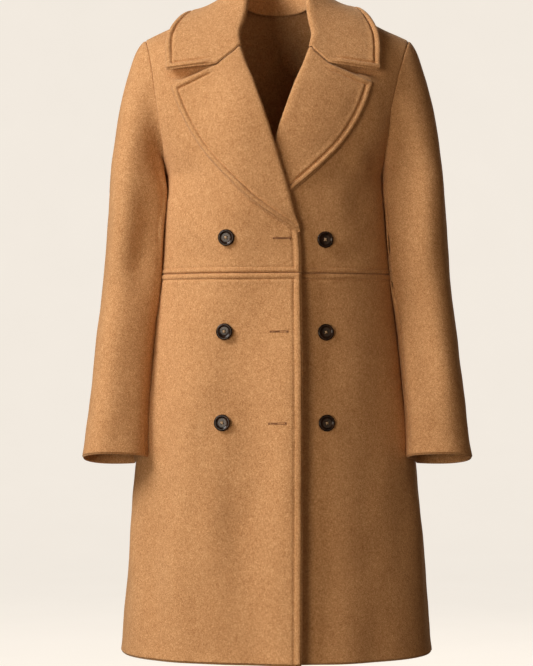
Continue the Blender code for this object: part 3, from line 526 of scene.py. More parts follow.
def body_point(course, share):
    """A place of the body's inner face."""
    back, side_z, centre_z, half, depth, arm_y, opening, shift = section_at(course)
    power = 2 / ROUNDNESS
    turn = np.abs(share) * opening
    across = half * (np.sin(turn) / np.sin(opening)) ** power
    end = np.cos(opening) ** power
    forward = (np.clip(np.cos(turn), 0, 1) ** power - end) / (1 - end)
    y = SEAM_GAP / 2 + arm_y + (depth - arm_y) * forward
    z = centre_z - (centre_z - side_z) * level_share(across, half)
    return vectors(shift + np.sign(share) * across, np.where(back, y, -y), z)


def body_normal(course, share):
    """The way out of the body at a place of its skin."""
    low = np.clip(share - SHARE_STEP, -1, 1)
    high = np.clip(share + SHARE_STEP, -1, 1)
    upwards = body_point(course + COURSE_STEP, share) - body_point(course - COURSE_STEP, share)
    across = body_point(course, high) - body_point(course, low)
    normal = unit(np.cross(across, upwards))
    point = body_point(course, share)
    outwards = point - vectors(0, 0, np.minimum(point[..., 2], UNDERARM_Z))
    facing = np.sum(normal * outwards, axis=-1, keepdims=True)
    return np.where(facing < 0, -normal, normal)


def share_of_x(course, x):
    """The share at which the body's section passes x."""
    _, _, _, half, _, _, opening, shift = section_at(course)
    across = np.clip(np.abs(x - shift) / half, 0, 1) ** (ROUNDNESS / 2)
    return np.sign(x - shift) * np.arcsin(np.clip(across * np.sin(opening), 0, 1)) / opening


def course_of_place(x, z, back=False):
    """The course on the front, or on the back, that passes x at the height z."""
    low = np.full(np.shape(z), COURSES[0])
    high = np.full(np.shape(z), RIDGE)
    for _ in range(HALVINGS):
        middle = (low + high) / 2
        _, side_z, centre_z, half, _, _, _, shift = section_at(middle)
        fall = level_share(np.minimum(np.abs(x - shift), half), half)
        below = centre_z - (centre_z - side_z) * fall < z
        low = np.where(below, middle, low)
        high = np.where(below, high, middle)
    return 2 * RIDGE - low if back else low


def folds(point):
    """How far the skirt's folds stand out (+) or in (-) at a place."""
    x, y, z = np.moveaxis(point, -1, 0)
    total = np.zeros(np.shape(x))
    for table, there in ((FRONT_FOLDS, y < 0), (BACK_FOLDS, y >= 0)):
        for fold in table:
            spread = np.exp(-((x - fold.x) / fold.half_width) ** 2)
            grown = ease((WAIST_Z - z) / (WAIST_Z - fold.full_z))
            total = total + there * fold.depth * spread * grown
    return total * ease(np.abs(y) / FOLD_FADE)


def lap(point):
    """How far the right front is lifted over the left one at a place."""
    x, _, z = np.moveaxis(point, -1, 0)
    across = ease((x - LAP_START_X) / (LAP_FULL_X - LAP_START_X))
    return LAP_LIFT * across * ease((LAP_TOP_Z - z) / (LAP_TOP_Z - LAP_WHOLE_Z))


def skin(course, share, height=0.0, lapped=0.0):
    """A place at a height over the body's skin; lapped is 1 on the right front, which laps over."""
    point = body_point(course, share)
    lift = folds(point) + height + lap(point) * lapped
    return point + body_normal(course, share) * np.expand_dims(lift, -1)


def front_place(x, z, height, lapped):
    """The place at a height over the front's skin that is seen at x and z, and the way out there."""
    x, z = np.broadcast_arrays(np.asarray(x, float), np.asarray(z, float))
    at_x, at_z = x, z
    for _ in range(AIMS):
        course = course_of_place(at_x, at_z)
        share = share_of_x(course, at_x)
        point = skin(course, share, height, lapped)
        at_x = at_x + x - point[..., 0]
        at_z = at_z + z - point[..., 2]
    return point, body_normal(course, share)


# ---- relief of the cloth: seams, topstitching, creases ---------------------------------------------------
# A row of stitches: the panel's side, how far from it, its depth as a share of the stitch depth, and the
# shares of the side between which it runs, which lie beyond the ends where it runs all the way.
Seam = namedtuple("Seam", "side margin depth low high", defaults=(1.0, -1, 2))
Crease = namedtuple("Crease", "view start_across start_z end_across end_z half_width depth")
# The axis that runs across each view, and the way towards the viewer.
VIEWS = {
    "front": (0, (0, -1, 0)), "back": (0, (0, 1, 0)), "left": (1, (1, 0, 0)), "right": (1, (-1, 0, 0)),
}
BODY_CREASES = (
    # Seen from the front: drags from the break and the waist seam, and the skirt's soft pleats.
    Crease("front", -0.056, -0.440, -0.050, -0.960, 0.030, -0.0038),
    Crease("front", -0.125, -0.450, -0.110, -0.880, 0.026, 0.0028),
    Crease("front", -0.165, -0.560, -0.185, -0.990, 0.020, -0.0035),
    Crease("front", 0.028, -0.470, 0.034, -0.930, 0.020, 0.0022),
    Crease("front", 0.093, -0.450, 0.105, -0.960, 0.030, -0.0018),
    Crease("front", 0.140, -0.520, 0.162, -0.980, 0.026, 0.0012),
    Crease("front", -0.150, -0.245, -0.112, -0.360, 0.018, -0.0022),
    Crease("front", -0.142, -0.330, -0.070, -0.395, 0.016, 0.0016),
    Crease("front", 0.150, -0.235, 0.118, -0.350, 0.018, -0.0030),
    Crease("front", 0.152, -0.170, 0.128, -0.290, 0.020, 0.0024),
    Crease("front", 0.138, -0.370, 0.098, -0.410, 0.014, -0.0016),
    # Seen from behind: the blade's fullness, drags to the waist, and the skirt's pleats.
    Crease("back", -0.105, -0.120, -0.085, -0.330, 0.030, 0.0036),
    Crease("back", 0.100, -0.130, 0.088, -0.340, 0.032, 0.0032),
    Crease("back", -0.150, -0.200, -0.118, -0.370, 0.018, -0.0040),
    Crease("back", 0.152, -0.205, 0.124, -0.350, 0.018, -0.0036),
    Crease("back", -0.010, -0.140, 0.004, -0.380, 0.022, -0.0026),
    Crease("back", -0.060, -0.440, -0.072, -0.970, 0.020, -0.0050),
    Crease("back", 0.082, -0.440, 0.096, -0.950, 0.022, -0.0046),
    Crease("back", 0.016, -0.500, 0.022, -0.985, 0.026, 0.0034),
    Crease("back", -0.135, -0.520, -0.158, -0.990, 0.024, 0.0034),
    Crease("back", 0.152, -0.540, 0.170, -0.985, 0.022, 0.0030),
    # Seen from the sides.
    Crease("left", 0.050, -0.470, 0.070, -0.970, 0.024, -0.0040),
    Crease("left", -0.055, -0.520, -0.070, -0.985, 0.022, 0.0032),
    Crease("right", 0.045, -0.470, 0.062, -0.970, 0.022, -0.0038),
    Crease("right", -0.050, -0.540, -0.064, -0.985, 0.024, 0.0030),
)
RIGHT_SLEEVE_CREASES = (
    # Seen from the front: one long soft hollow down the inner side, deepest above the elbow.
    Crease("front", -0.188, -0.130, -0.198, -0.500, 0.032, -0.0060),
    Crease("front", -0.208, -0.270, -0.204, -0.440, 0.022, -0.0030),
    Crease("front", -0.236, -0.500, -0.262, -0.680, 0.018, 0.0014),
    Crease("right", 0.035, -0.240, 0.020, -0.350, 0.026, 0.0010),
    Crease("back", -0.225, -0.300, -0.190, -0.380, 0.016, -0.0042),
    Crease("back", -0.238, -0.430, -0.205, -0.470, 0.014, -0.0036),
    Crease("back", -0.206, -0.160, -0.200, -0.420, 0.024, -0.0030),
)
LEFT_SLEEVE_CREASES = (
    Crease("front", 0.190, -0.200, 0.200, -0.560, 0.030, -0.0090),
    Crease("front", 0.236, -0.450, 0.252, -0.640, 0.020, 0.0018),
    Crease("front", 0.222, -0.480, 0.238, -0.660, 0.018, -0.0016),
    Crease("left", 0.038, -0.225, 0.018, -0.345, 0.026, 0.0010),
    Crease("back", 0.228, -0.310, 0.196, -0.395, 0.016, -0.0042),
    Crease("back", 0.244, -0.446, 0.212, -0.482, 0.014, -0.0034),
    Crease("back", 0.204, -0.150, 0.206, -0.400, 0.024, -0.0030),
)
# Where the upper front sinks under the gap between the collar and a lapel.
NOTCH_TROUGHS = (
    Crease("front", -0.094, -0.112, -0.168, -0.122, 0.009, -0.0125),
    Crease("front", 0.080, -0.110, 0.156, -0.121, 0.009, -0.0125),
)
SEED_STEP = 7.31           # in lumps, between the noises of two seeds
CREASE_PATCH = 0.055       # size of the patches in which creases run deeper or shallower
CREASE_VARIES = 0.5        # by how much they do so
WANDER = 0.35              # how far a crease strays to either side, in half widths
WANDER_TURN = 7            # radians of that wave from the crease's start to its end
WANDER_SHIFT = 40          # radians for each metre across by which the wave starts further on
BANK = 0.38                # height of the banks beside a crease, as a share of its depth
BANK_AWAY = 1.7            # how far from its middle they stand, in half widths
BANK_WIDTH = 0.8
CREASE_OVER = 0.12         # share of its length by which a crease runs on past its ends
CREASE_FADE = 0.4          # and over which it fades in and out
LEAST_FACING = 0.15        # how far the cloth has to face a crease's view to take it
FACING_FADE = 0.5
BROAD_LUMPS = (0.0016, 0.085)  # height and size of the cloth's broad lumps
SMALL_LUMPS = (0.0005, 0.028)  # and of its small ones
SPRING_HALF = 0.035        # half width of the strip round x = 0 over which the lapping edge springs out
SPRING_RISE = 0.12         # height below the break over which it does so

WALL = 0.0068              # the thickest the cloth gets, where a turned edge is puffed
LEAST_WALL = 0.3           # the thinnest it gets, as a share of its own thickness
GROOVE_WIDTH = 0.0017      # of the groove that a row of stitches draws in
ROW_FADE = 0.02            # share of a side over which a row fades in and out
CROSSING_START = 0.001     # how far before it crosses another row a row starts to fade
CROSSING_FADE = 0.003
STITCHES_STOP = 0.0005     # how far past the other row its stitches still go
PUFF_EVENS = 0.6           # power of a row's depth by which its edge is puffed
PUFF_FULLNESS = 0.7        # power of the puff's section: the lower, the fuller
PUFF_PATCH = 0.040         # size of the stretches in which an edge is puffed more or less
PUFF_VARIES = 0.35
SECOND_AWAY = 0.0045       # how far inside its stitches the cloth swells a second time
SECOND_WIDTH = 0.0035
SECOND_SHARE = 0.3         # of the edge's own puff
PUCKER_PATCH = 0.011       # size of the puckers along a row
PUCKER_VARIES = 0.3        # share of the groove's depth by which they change it
PUCKER_HEIGHT = 0.0005     # how far they lift the cloth beside it
PUCKER_REACH = 0.008
RIM_WIDTH = 0.0034         # over which the wall rounds at a seam or edge
SEAM_RIM = 0.45            # how thin it gets there: at a seam
EDGE_RIM = 0.30            # and at a free edge
CORNER_RADIUS = 0.0055     # of the corners between two free edges
FADE_REACH = 0.045         # over which a lapel thins to where it meets the front's edge
FADE_LEAST = 0.35          # how thin it gets there
EDGE_ROLL = 0.42           # how far up in the wall the middle of a free edge lies: it rounds both ways
EDGE_SWELL = 0.0010        # how much thicker an unstitched free edge is
SWELL_REACH = 0.014
FINE_STEP = 0.0011         # of a panel's grid along its sides
COARSE_STEP = 0.0058       # and in its middle
STEP_GROWTH = 1.2          # from one step to the next
STITCHED_REACH = 0.019     # how far in from a stitched side the steps stay fine
PLAIN_REACH = 0.004        # and from a plain one


def uneven(points, size, seed):
    """Smooth noise from about -1 to 1 at each place, in lumps of the given size."""
    flat = points.reshape(-1, 3) / size + seed * SEED_STEP
    values = np.fromiter((noise.noise(Vector(place)) for place in flat), float, len(flat))
    return values.reshape(points.shape[:-1])


def settle(points, normals, creases, lapped=0.0):
    """How far the worn cloth stands in or out of its cut at each place: creases and slight lumps."""
    looks = bpy.context.scene.coat_sizes
    height = np.zeros(points.shape[:-1])
    depths = 1 + CREASE_VARIES * uneven(points, CREASE_PATCH, 3)
    for crease in creases:
        axis, view = VIEWS[crease.view]
        across = points[..., axis] - crease.start_across
        down = points[..., 2] - crease.start_z
        run_across = crease.end_across - crease.start_across
        run_down = crease.end_z - crease.start_z
        length = np.hypot(run_across, run_down)
        t = (across * run_across + down * run_down) / length ** 2
        away = (across * run_down - down * run_across) / length
        wander = WANDER * crease.half_width * np.sin(WANDER_TURN * t + WANDER_SHIFT * crease.start_across)
        s = (away + wander) / crease.half_width
        swell = np.exp(-s * s) - BANK * np.exp(-((np.abs(s) - BANK_AWAY) / BANK_WIDTH) ** 2)
        ends = ease((t + CREASE_OVER) / CREASE_FADE) * ease((1 + CREASE_OVER - t) / CREASE_FADE)
        facing = ease((normals @ np.array(view) - LEAST_FACING) / FACING_FADE)
        height = height + crease.depth * swell * ends * facing * depths
    lumps = sum(lift * uneven(points, size, seed)
                for seed, (lift, size) in enumerate((BROAD_LUMPS, SMALL_LUMPS), 1))
    spring = looks.edge_spring * lapped * ease((points[..., 0] + SPRING_HALF) / (2 * SPRING_HALF))
    return height * looks.crease_strength + lumps + spring * ease((BREAK_Z - points[..., 2]) / SPRING_RISE)


def spaced(length, fine_start, fine_end):
    """Stops from 0 to 1 along a length, close together near its ends and most near a stitched one."""
    def ramp(fine):
        reach = STITCHED_REACH if fine else PLAIN_REACH
        at = [0.0]
        step = FINE_STEP
        while at[-1] < length / 2:
            at.append(at[-1] + step)
            if at[-1] > reach:
                step = min(step * STEP_GROWTH, COARSE_STEP)
        return np.array(at) * (length / 2 / at[-1])
    return np.concatenate((ramp(fine_start), length - ramp(fine_end)[-2::-1])) / length


def side_distances(outer):
    """Of a grid's places: the distance from each of its four sides, along its rows and columns."""
    def both(axis):
        steps = np.linalg.norm(np.diff(outer, axis=axis), axis=-1)
        run = np.cumsum(np.insert(steps, 0, 0.0, axis=axis), axis=axis)
        return run, np.take(run, [-1], axis=axis) - run
    start, end = both(1)
    bottom, top = both(0)
    return {"start": start, "end": end, "bottom": bottom, "top": top}


def runs_across(seam):
    """Whether a seam runs across its panel, along the grid's rows."""
    return seam.side in ("bottom", "top")


def crossing(seam, seams):
    """The seams that run the other way than this one."""
    return [other for other in seams if runs_across(other) != runs_across(seam)]


def thickness_of(points, u, v, seams, free, faded):
    """The wall's thickness and lift over a grid: puffed by stitched edges, pinched at stitches and rims."""
    looks = bpy.context.scene.coat_sizes
    away = side_distances(points)
    thickness = np.full(u.shape, CLOTH)
    pucker = uneven(points, PUCKER_PATCH, 5)
    slow = uneven(points, PUFF_PATCH, 6)
    puff = np.zeros(u.shape)
    for seam in seams:
        d = away[seam.side]
        along, over = (u, v) if runs_across(seam) else (v, u)
        there = ease((along - seam.low) / ROW_FADE + 0.5) * ease((seam.high - along) / ROW_FADE + 0.5)
        section = np.sin(pi * np.clip(d / seam.margin, 0, 1)) ** PUFF_FULLNESS
        puff = np.maximum(puff, there * seam.depth ** PUFF_EVENS * section)
        for other in crossing(seam, seams):
            meets = (over > other.low) & (over < other.high)
            near = ease((other.margin + CROSSING_START - away[other.side]) / CROSSING_FADE)
            there = there * (1 - meets * near)
        second = np.exp(-((d - seam.margin - SECOND_AWAY) / SECOND_WIDTH) ** 2)
        groove = np.exp(-((d - seam.margin) / GROOVE_WIDTH) ** 2)
        beside = np.exp(-((d - seam.margin) / PUCKER_REACH) ** 2)
        thickness = thickness + there * (
            SECOND_SHARE * looks.edge_puff * second * seam.depth
            - looks.stitch_depth * seam.depth * groove * (1 + PUCKER_VARIES * pucker)
            + PUCKER_HEIGHT * pucker * beside
        )
    thickness = thickness + looks.edge_puff * puff * (1 + PUFF_VARIES * slow)
    stitched = [seam.side for seam in seams]
    rolled = np.zeros(u.shape)
    for side, d in away.items():
        if side in free and side not in stitched:
            thickness = thickness + EDGE_SWELL * np.exp(-(d / SWELL_REACH) ** 2)
        rim = np.clip(1 - d / RIM_WIDTH, 0, 1)
        least = EDGE_RIM if side in free else SEAM_RIM
        rounding = least + (1 - least) * np.sqrt(1 - rim * rim)
        if side in free:
            rolled = np.maximum(rolled, 1 - rounding)
        if side == faded:
            rounding = FADE_LEAST + (1 - FADE_LEAST) * ease(d / FADE_REACH)
        thickness = thickness * rounding
    lift = rolled * EDGE_ROLL * (CLOTH + looks.edge_puff)
    return np.clip(thickness, LEAST_WALL * CLOTH, WALL), lift


def stitch_line(points, normals, u, v, seam, seams):
    """The line of stitches along a seam, on the wall's outer face: its places and the ways out there."""
    away = side_distances(points)
    if runs_across(seam):
        points, normals, u, v = [np.swapaxes(x, 0, 1) for x in (points, normals, v, u)]
        away = {side: np.swapaxes(distance, 0, 1) for side, distance in away.items()}
    d = away[seam.side]
    places = []
    ways = []
    for row in range(points.shape[0]):
        if not seam.low <= v[row, 0] <= seam.high:
            continue
        order = np.argsort(d[row])

        def read(values):
            return np.interp(seam.margin, d[row][order], values[order])

        share = read(u[row])
        blocked = any(
            other.low < share < other.high and read(away[other.side][row]) < other.margin - STITCHES_STOP
            for other in crossing(seam, seams)
        )
        if blocked or d[row].max() < seam.margin:
            continue
        places.append([read(points[row][:, k]) for k in range(3)])
        ways.append([read(normals[row][:, k]) for k in range(3)])
    return np.array(places), np.array(ways)


# ---- meshes and objects ---------------------------------------------------------------------------
def mesh_of(name, shape):
    """Makes a bmesh a mesh, and frees it."""
    mesh = bpy.data.meshes.new(name)
    shape.to_mesh(mesh)
    shape.free()
    return mesh


def add_object(name, data):
    """A new object in the scene."""
    made = bpy.data.objects.new(name, data)
    bpy.context.scene.collection.objects.link(made)
    return made


def turned(profile, steps, merge):
    """A bmesh of a profile of radii and heights, turned round z."""
    shape = bmesh.new()
    ring = [shape.verts.new((radius, 0, height)) for radius, height in profile]
    edges = [shape.edges.new(pair) for pair in zip(ring, ring[1:])]
    bmesh.ops.spin(shape, geom=ring + edges, cent=(0, 0, 0), axis=(0, 0, 1), angle=2 * pi,
                   steps=steps, use_merge=True, use_duplicate=False)
    bmesh.ops.remove_doubles(shape, verts=shape.verts, dist=merge)
    bmesh.ops.recalc_face_normals(shape, faces=shape.faces)
    return shape


# ---- stitches -----------------------------------------------------------------------------------
LINE_STEP = 0.001          # for the direction of a row of stitches


def joined_mesh(name, shape, transforms, material):
    """One mesh from many copies of a small bmesh shape."""
    seed = mesh_of(name + "_shape", shape)
    corners = np.array([tuple(vertex.co) for vertex in seed.vertices])
    faces = [tuple(face.vertices) for face in seed.polygons]
    bpy.data.meshes.remove(seed)
    whole = []
    sides = []
    for turn, place in transforms:
        base = len(whole) * len(corners)
        whole.append(corners @ turn + place)
        sides.extend(tuple(base + k for k in face) for face in faces)
    mesh = bpy.data.meshes.new(name)
    mesh.from_pydata(np.concatenate(whole).tolist(), [], sides)
    mesh.shade_smooth()
    mesh.materials.append(material)
    piece = add_object(name, mesh)
    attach(piece, "root")
    return piece


def stitch_shape(length, radius):
    """A short thread with rounded ends, along x."""
    shape = bmesh.new()
    bmesh.ops.create_icosphere(shape, subdivisions=1, radius=1.0)
    bmesh.ops.scale(shape, vec=(length / 2, radius, radius), verts=shape.verts)
    return shape


def frames(ahead, normal):
    """Rows of a turn that takes x ahead, y aside and z out."""
    ahead = unit(ahead)
    aside = unit(np.cross(normal, ahead))
    return np.stack((ahead, aside, np.cross(ahead, aside)), axis=-2)


def sew(name, lines, material):
    """Rows of thread along the given lines, each a stitch long and a gap apart."""
    looks = bpy.context.scene.coat_sizes
    pitch = looks.stitch_length + looks.stitch_gap
    transforms = []
    for places, ways in lines:
        if len(places) < 3:
            continue
        run = np.insert(np.cumsum(np.linalg.norm(np.diff(places, axis=0), axis=1)), 0, 0.0)
        middles = np.arange(pitch / 2, run[-1], pitch)

        def read(values, at):
            return np.stack([np.interp(at, run, values[:, k]) for k in range(3)], -1)

        spots = read(places, middles)
        ahead = read(places, middles + LINE_STEP) - read(places, middles - LINE_STEP)
        out = unit(read(ways, middles))
        turns = frames(ahead, out)
        transforms.extend(zip(turns, spots + out * looks.thread / 4))
    return joined_mesh(name, stitch_shape(looks.stitch_length, looks.thread / 2), transforms, material)


# ---- making the pieces ----------------------------------------------------------------------------
def stops(values):
    """Reads a list of values, evenly spaced from 0 to 1."""
    return lambda t: np.interp(t, np.linspace(0, 1, len(values)), values)


def cornered(points, free):
    """A grid's places, its corners between two free edges drawn in to a round."""
    away = side_distances(points)
    drawn = np.zeros(points.shape)
    for side, way_across in (("start", 1), ("end", -1)):
        for level, way_along in (("bottom", 1), ("top", -1)):
            if side in free and level in free:
                across = np.clip(1 - away[side] / CORNER_RADIUS, 0, 1)[..., None]
                along = np.clip(1 - away[level] / CORNER_RADIUS, 0, 1)[..., None]
                reach = np.maximum(np.hypot(across, along), 1e-9)
                pull = CORNER_RADIUS * (1 - np.maximum(across, along) / reach) * (reach > 1e-6)
                drawn = drawn + pull * (across * way_across * unit(np.gradient(points, axis=1))
                                        + along * way_along * unit(np.gradient(points, axis=0)))
    return points + drawn


def grid_mesh(name, points, shares, flipped):
    """The mesh of a panel's grid, weighted by its wall's shares of the full thickness."""
    rows, columns = shares.shape
    grid = bmesh.new()
    bmesh.ops.create_grid(grid, x_segments=columns - 1, y_segments=rows - 1, size=1.0)
    weights = grid.verts.layers.deform.verify()
    for corner in grid.verts:
        column = round((corner.co.x + 1) / 2 * (columns - 1))
        row = round((corner.co.y + 1) / 2 * (rows - 1))
        corner.co = Vector(points[row, column])
        corner[weights][0] = float(shares[row, column])
    if flipped:
        bmesh.ops.reverse_faces(grid, faces=grid.faces)
    mesh = mesh_of(name, grid)
    mesh.shade_smooth()
    mesh.materials.append(wool())
    return mesh


def cloth_wall(node, place, across, along, flipped, seams=(), free=(), creases=BODY_CREASES,
               lapped=0.0, faded=None):
    """A panel of cloth in place of its CAD node, and its rows of stitches."""
    u, v = np.meshgrid(across, along)
    points = cornered(place(u, v), free)
    normals = unit(np.cross(np.gradient(points, axis=1), np.gradient(points, axis=0)))
    if flipped:
        normals = -normals
    thickness, rolled = thickness_of(points, u, v, seams, free, faded)
    points = points + normals * (settle(points, normals, creases, lapped) + rolled)[..., None]
    piece = add_object("cloth_" + node, grid_mesh(node, points, thickness / WALL, flipped))
    piece.vertex_groups.new(name="thickness")
    wall = piece.modifiers.new("cloth", "SOLIDIFY")
    wall.thickness = WALL
    wall.offset = 1.0
    wall.vertex_group = "thickness"
    wall.thickness_vertex_group = 0.0
    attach(piece, "root")
    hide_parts(node)

    outer = points + normals * thickness[..., None]
    lines = [stitch_line(outer, normals, u, v, seam, seams) for seam in seams]
    if lines:
        stitches = sew("stitches_" + node, lines, thread())


# ---- fronts, back and skirts ----------------------------------------------------------------------
WAIST_COURSE = course_of_side(WAIST_Z)
BODICE_COURSES = (WAIST_COURSE + SEAM_GAP / 2, RIDGE)
SKIRT_COURSES = (COURSES[0], WAIST_COURSE - SEAM_GAP / 2)
ABOVE_WAIST_DEPTH = 0.34   # of the waist seam's upper row of stitches
BELOW_WAIST_DEPTH = 0.5    # and of its lower one
BODICE_EDGE_DEPTH = 0.5    # of the row down the front edge, above the waist
SKIRT_EDGE_DEPTH = 0.6     # and below it
UNDER_LAPEL = 0.014        # how far above the break that row still runs

# A panel's lengths across and up its grid, and its cut: the blank's width and length, and its own area.
Panel = namedtuple("Panel", "across up cut")
FRONT_BODICE = Panel(0.24, RIDGE - WAIST_COURSE, (0.27, 0.43, 0.088))
FRONT_SKIRT = Panel(0.31, 0.585, (0.36, 0.585, 0.194))
BACK_BODICE = Panel(0.42, RIDGE - WAIST_COURSE, (0.42, 0.48, 0.185))
BACK_SKIRT = Panel(0.56, 0.585, (0.63, 0.585, 0.335))
TOP_SLEEVE = Panel(0.21, 0.62, (0.24, 0.64, 0.130))
UNDER_SLEEVE = Panel(0.13, 0.62, (0.15, 0.50, 0.063))
TURNED_OUT = 0.105         # what lies outside, across a lapel and up the collar
LAPEL = Panel(TURNED_OUT, 0.32, (0.14, 0.33, 0.030))
COLLAR = Panel(0.62, TURNED_OUT, (0.54, 0.18, 0.074))


def front_panel(front, courses):
    """The grid of a front: u from its inner edge to the side seam or armhole, v upwards."""
    course_at = stops(courses)

    def place(u, v):
        course = course_at(v)
        _, side_z, centre_z, half, _, _, _, shift = section_at(course)
        inner = front.edge_x(centre_z)
        for _ in range(EDGE_AIMS):
            fall = level_share(np.minimum(np.abs(inner - shift), half), half)
            inner = front.edge_x(centre_z - (centre_z - side_z) * fall)
        start = share_of_x(course, inner)
        return skin(course, start + (front.side - start) * u, 0.0, front.lapped)

    return place


def back_neck_course(share):
    """How far up a column of the back reaches: to the shoulder seam, or less under the neck."""
    across = np.abs(body_point(np.full(np.shape(share), RIDGE), share)[..., 0]) / NECK_HALF
    return RIDGE - BACK_NECK_DROP * np.sqrt(np.clip(1 - across ** 2, 0, 1))


def back_bodice_place(u, v):
    """The grid of the upper back: u from the right side to the left, v upwards, a column on each neck
    point."""
    neck_share = share_of_x(np.array(RIDGE), np.array(NECK_HALF))
    signed = 2 * u - 1
    share = np.sign(signed) * np.interp(np.abs(signed), (0, NECK_COLUMN, 1), (0, neck_share, 1))
    run = stops(BODICE_COURSES)(v)
    top = back_neck_course(share)
    top = np.where(top < RIDGE, top - STAND_GAP, top)
    upper = BLADES + (top - BLADES) * (run - BLADES) / (RIDGE - BLADES)
    return skin(2 * RIDGE - np.where(run > BLADES, upper, run), share)


def back_skirt_place(u, v):
    return skin(2 * RIDGE - stops(SKIRT_COURSES)(v), 2 * u - 1)


# ---- sleeves ----------------------------------------------------------------------------------
def armhole_point(course, side):
    """A place of the armhole, from the underarm up the front (0), over the shoulder and down the back."""
    return body_point(np.mod(course, 2 * RIDGE), np.full(np.shape(course), side * 1.0))


def clear_of_body(places, side, share=1.0):
    """Moves the sleeve's places out past the body's wall, where they would touch it, or a share of it."""
    out, forth, up = np.moveaxis(places, -1, 0)
    run = np.minimum(up - UNDERARM_Z, 0)
    depth = np.where(forth < 0, front_line(run), back_line(run))
    bulge = np.clip(1 - (np.abs(forth) / depth) ** ROUNDNESS, 0, 1) ** (1 / ROUNDNESS)
    wall = half_line(run) * bulge + side * shift_line(run)
    wall = wall + np.maximum(folds(vectors(side * wall, forth, up)), 0)
    pushed = np.maximum(out, wall + 2 * CLOTH + SLEEVE_CLEARANCE)
    near = ease((UNDERARM_Z + SLEEVE_SETTLE - up) / SLEEVE_SETTLE)
    return vectors(out + (pushed - out) * near * share, forth, up)


def sleeve_ring(turn, level, side):
    """Places round the sleeve below its cap; turn is 0 at the front and a quarter turn at the outside."""
    down = [-ring.z for ring in SLEEVE]
    x, y, half_width, half_depth, lean = [
        smooth_line(down, [getattr(ring, size) for ring in SLEEVE])(-level)
        for size in ("x", "y", "half_width", "half_depth", "lean")
    ]
    power = 2 / SLEEVE_ROUNDNESS
    out = x + half_width * np.sign(np.sin(turn)) * np.abs(np.sin(turn)) ** power
    forth = y - half_depth * np.sign(np.cos(turn)) * np.abs(np.cos(turn)) ** power
    up = level - np.tan(np.radians(lean)) * (forth - y)
    out = out - SLEEVE_HUG * ease(-HUG_SPREAD * np.sin(turn))
    return clear_of_body(vectors(out, forth, up), side)


def sleeve_cap(course, t, side):
    """Places between the armhole (t = 0) and the sleeve's first ring (t = 1), outwards along +x."""
    turn = course / ARM_RADIUS - pi / 2
    seam = np.mod(course, 2 * RIDGE)
    normal = body_normal(seam, np.full(np.shape(course), side * 1.0))
    ahead = unit(armhole_point(course + SEAM_STEP, side) - armhole_point(course - SEAM_STEP, side))
    leave = np.cross(ahead, normal) * side
    start = armhole_point(course, side) + leave * ARMHOLE_GAP
    leave = unit(leave + normal * np.expand_dims(SLEEVE_FULLNESS * np.abs(np.cos(turn)), -1))
    start[..., 0] *= side
    leave[..., 0] *= side
    end = sleeve_ring(turn, np.full(np.shape(course), SLEEVE[0].z), side)
    height = (start[..., 2:] - UNDERARM_Z) / (SHOULDER_Z - UNDERARM_Z)
    leave = leave * (UNDERARM_PULL + (HEAD_PULLS[side] - UNDERARM_PULL) * np.sqrt(np.clip(height, 0, 1)))
    arrive = np.linalg.norm(end - start, axis=-1, keepdims=True) * (0.0, 0.0, -RING_PULL)
    settled = ease(t / CAP_SETTLES)
    t = np.expand_dims(t, -1)
    places = (1 + 2 * t) * (1 - t) ** 2 * start + t * (1 - t) ** 2 * leave
    places = places + t * t * (3 - 2 * t) * end + t * t * (t - 1) * arrive
    return clear_of_body(places, side, settled)


def sleeve_panel(side, first, last):
    """The grid of a sleeve piece: u round the armhole between two courses, v down to the cuff."""
    def place(u, v):
        course = stops((first + SLEEVE_SEAM_GAP / 2, last - SLEEVE_SEAM_GAP / 2))(u)
        cap = sleeve_cap(course, np.clip(v / CAP_SHARE, 0, 1), side)
        level = np.interp(v, (CAP_SHARE, 1), (SLEEVE[0].z, SLEEVE[-1].z))
        lower = sleeve_ring(course / ARM_RADIUS - pi / 2, level, side)
        places = np.where(np.expand_dims(v, -1) < CAP_SHARE, cap, lower)
        places[..., 0] *= side
        return places

    return place


# ---- lapels and collar: folded over an edge, with a return inside ----------------------------------------
LAPEL_STITCHES_FROM = 0.02  # share of the lapel's height, from the break, at which its stitches start
ROLL_COLUMNS = INSIDE_COLUMNS + len(FOLD_TURNS)      # of the return inside and the roll
OUTER_STOPS = spaced(TURNED_OUT, False, True)[1:]    # across what lies outside, on lapels and collar
FOLD_COLUMNS = ROLL_COLUMNS + len(OUTER_STOPS)


def folded(column, inside, rolled, laid):
    """Picks each column's place: the return inside, the roll, or what lies outside."""
    column = np.expand_dims(column, -1)
    return np.where(column < INSIDE_COLUMNS, inside,
                    np.where(column < ROLL_COLUMNS, rolled, laid))


def fold_stops(t, foot):
    """Of a folded piece's columns: their number, the return's reach, the roll's turn, the outer share."""
    column = np.rint(t * (FOLD_COLUMNS - 1)).astype(int)
    reach = np.interp(column, (0, INSIDE_COLUMNS - 1), (foot, FOLD_START))
    turn = np.radians(FOLD_TURNS)[np.clip(column - INSIDE_COLUMNS, 0, len(FOLD_TURNS) - 1)]
    laid = np.clip(column - ROLL_COLUMNS, 0, len(OUTER_STOPS) - 1)
    share = LAID_START + (1 - LAID_START) * OUTER_STOPS[laid]
    return column, np.expand_dims(reach, -1), np.expand_dims(turn, -1), share


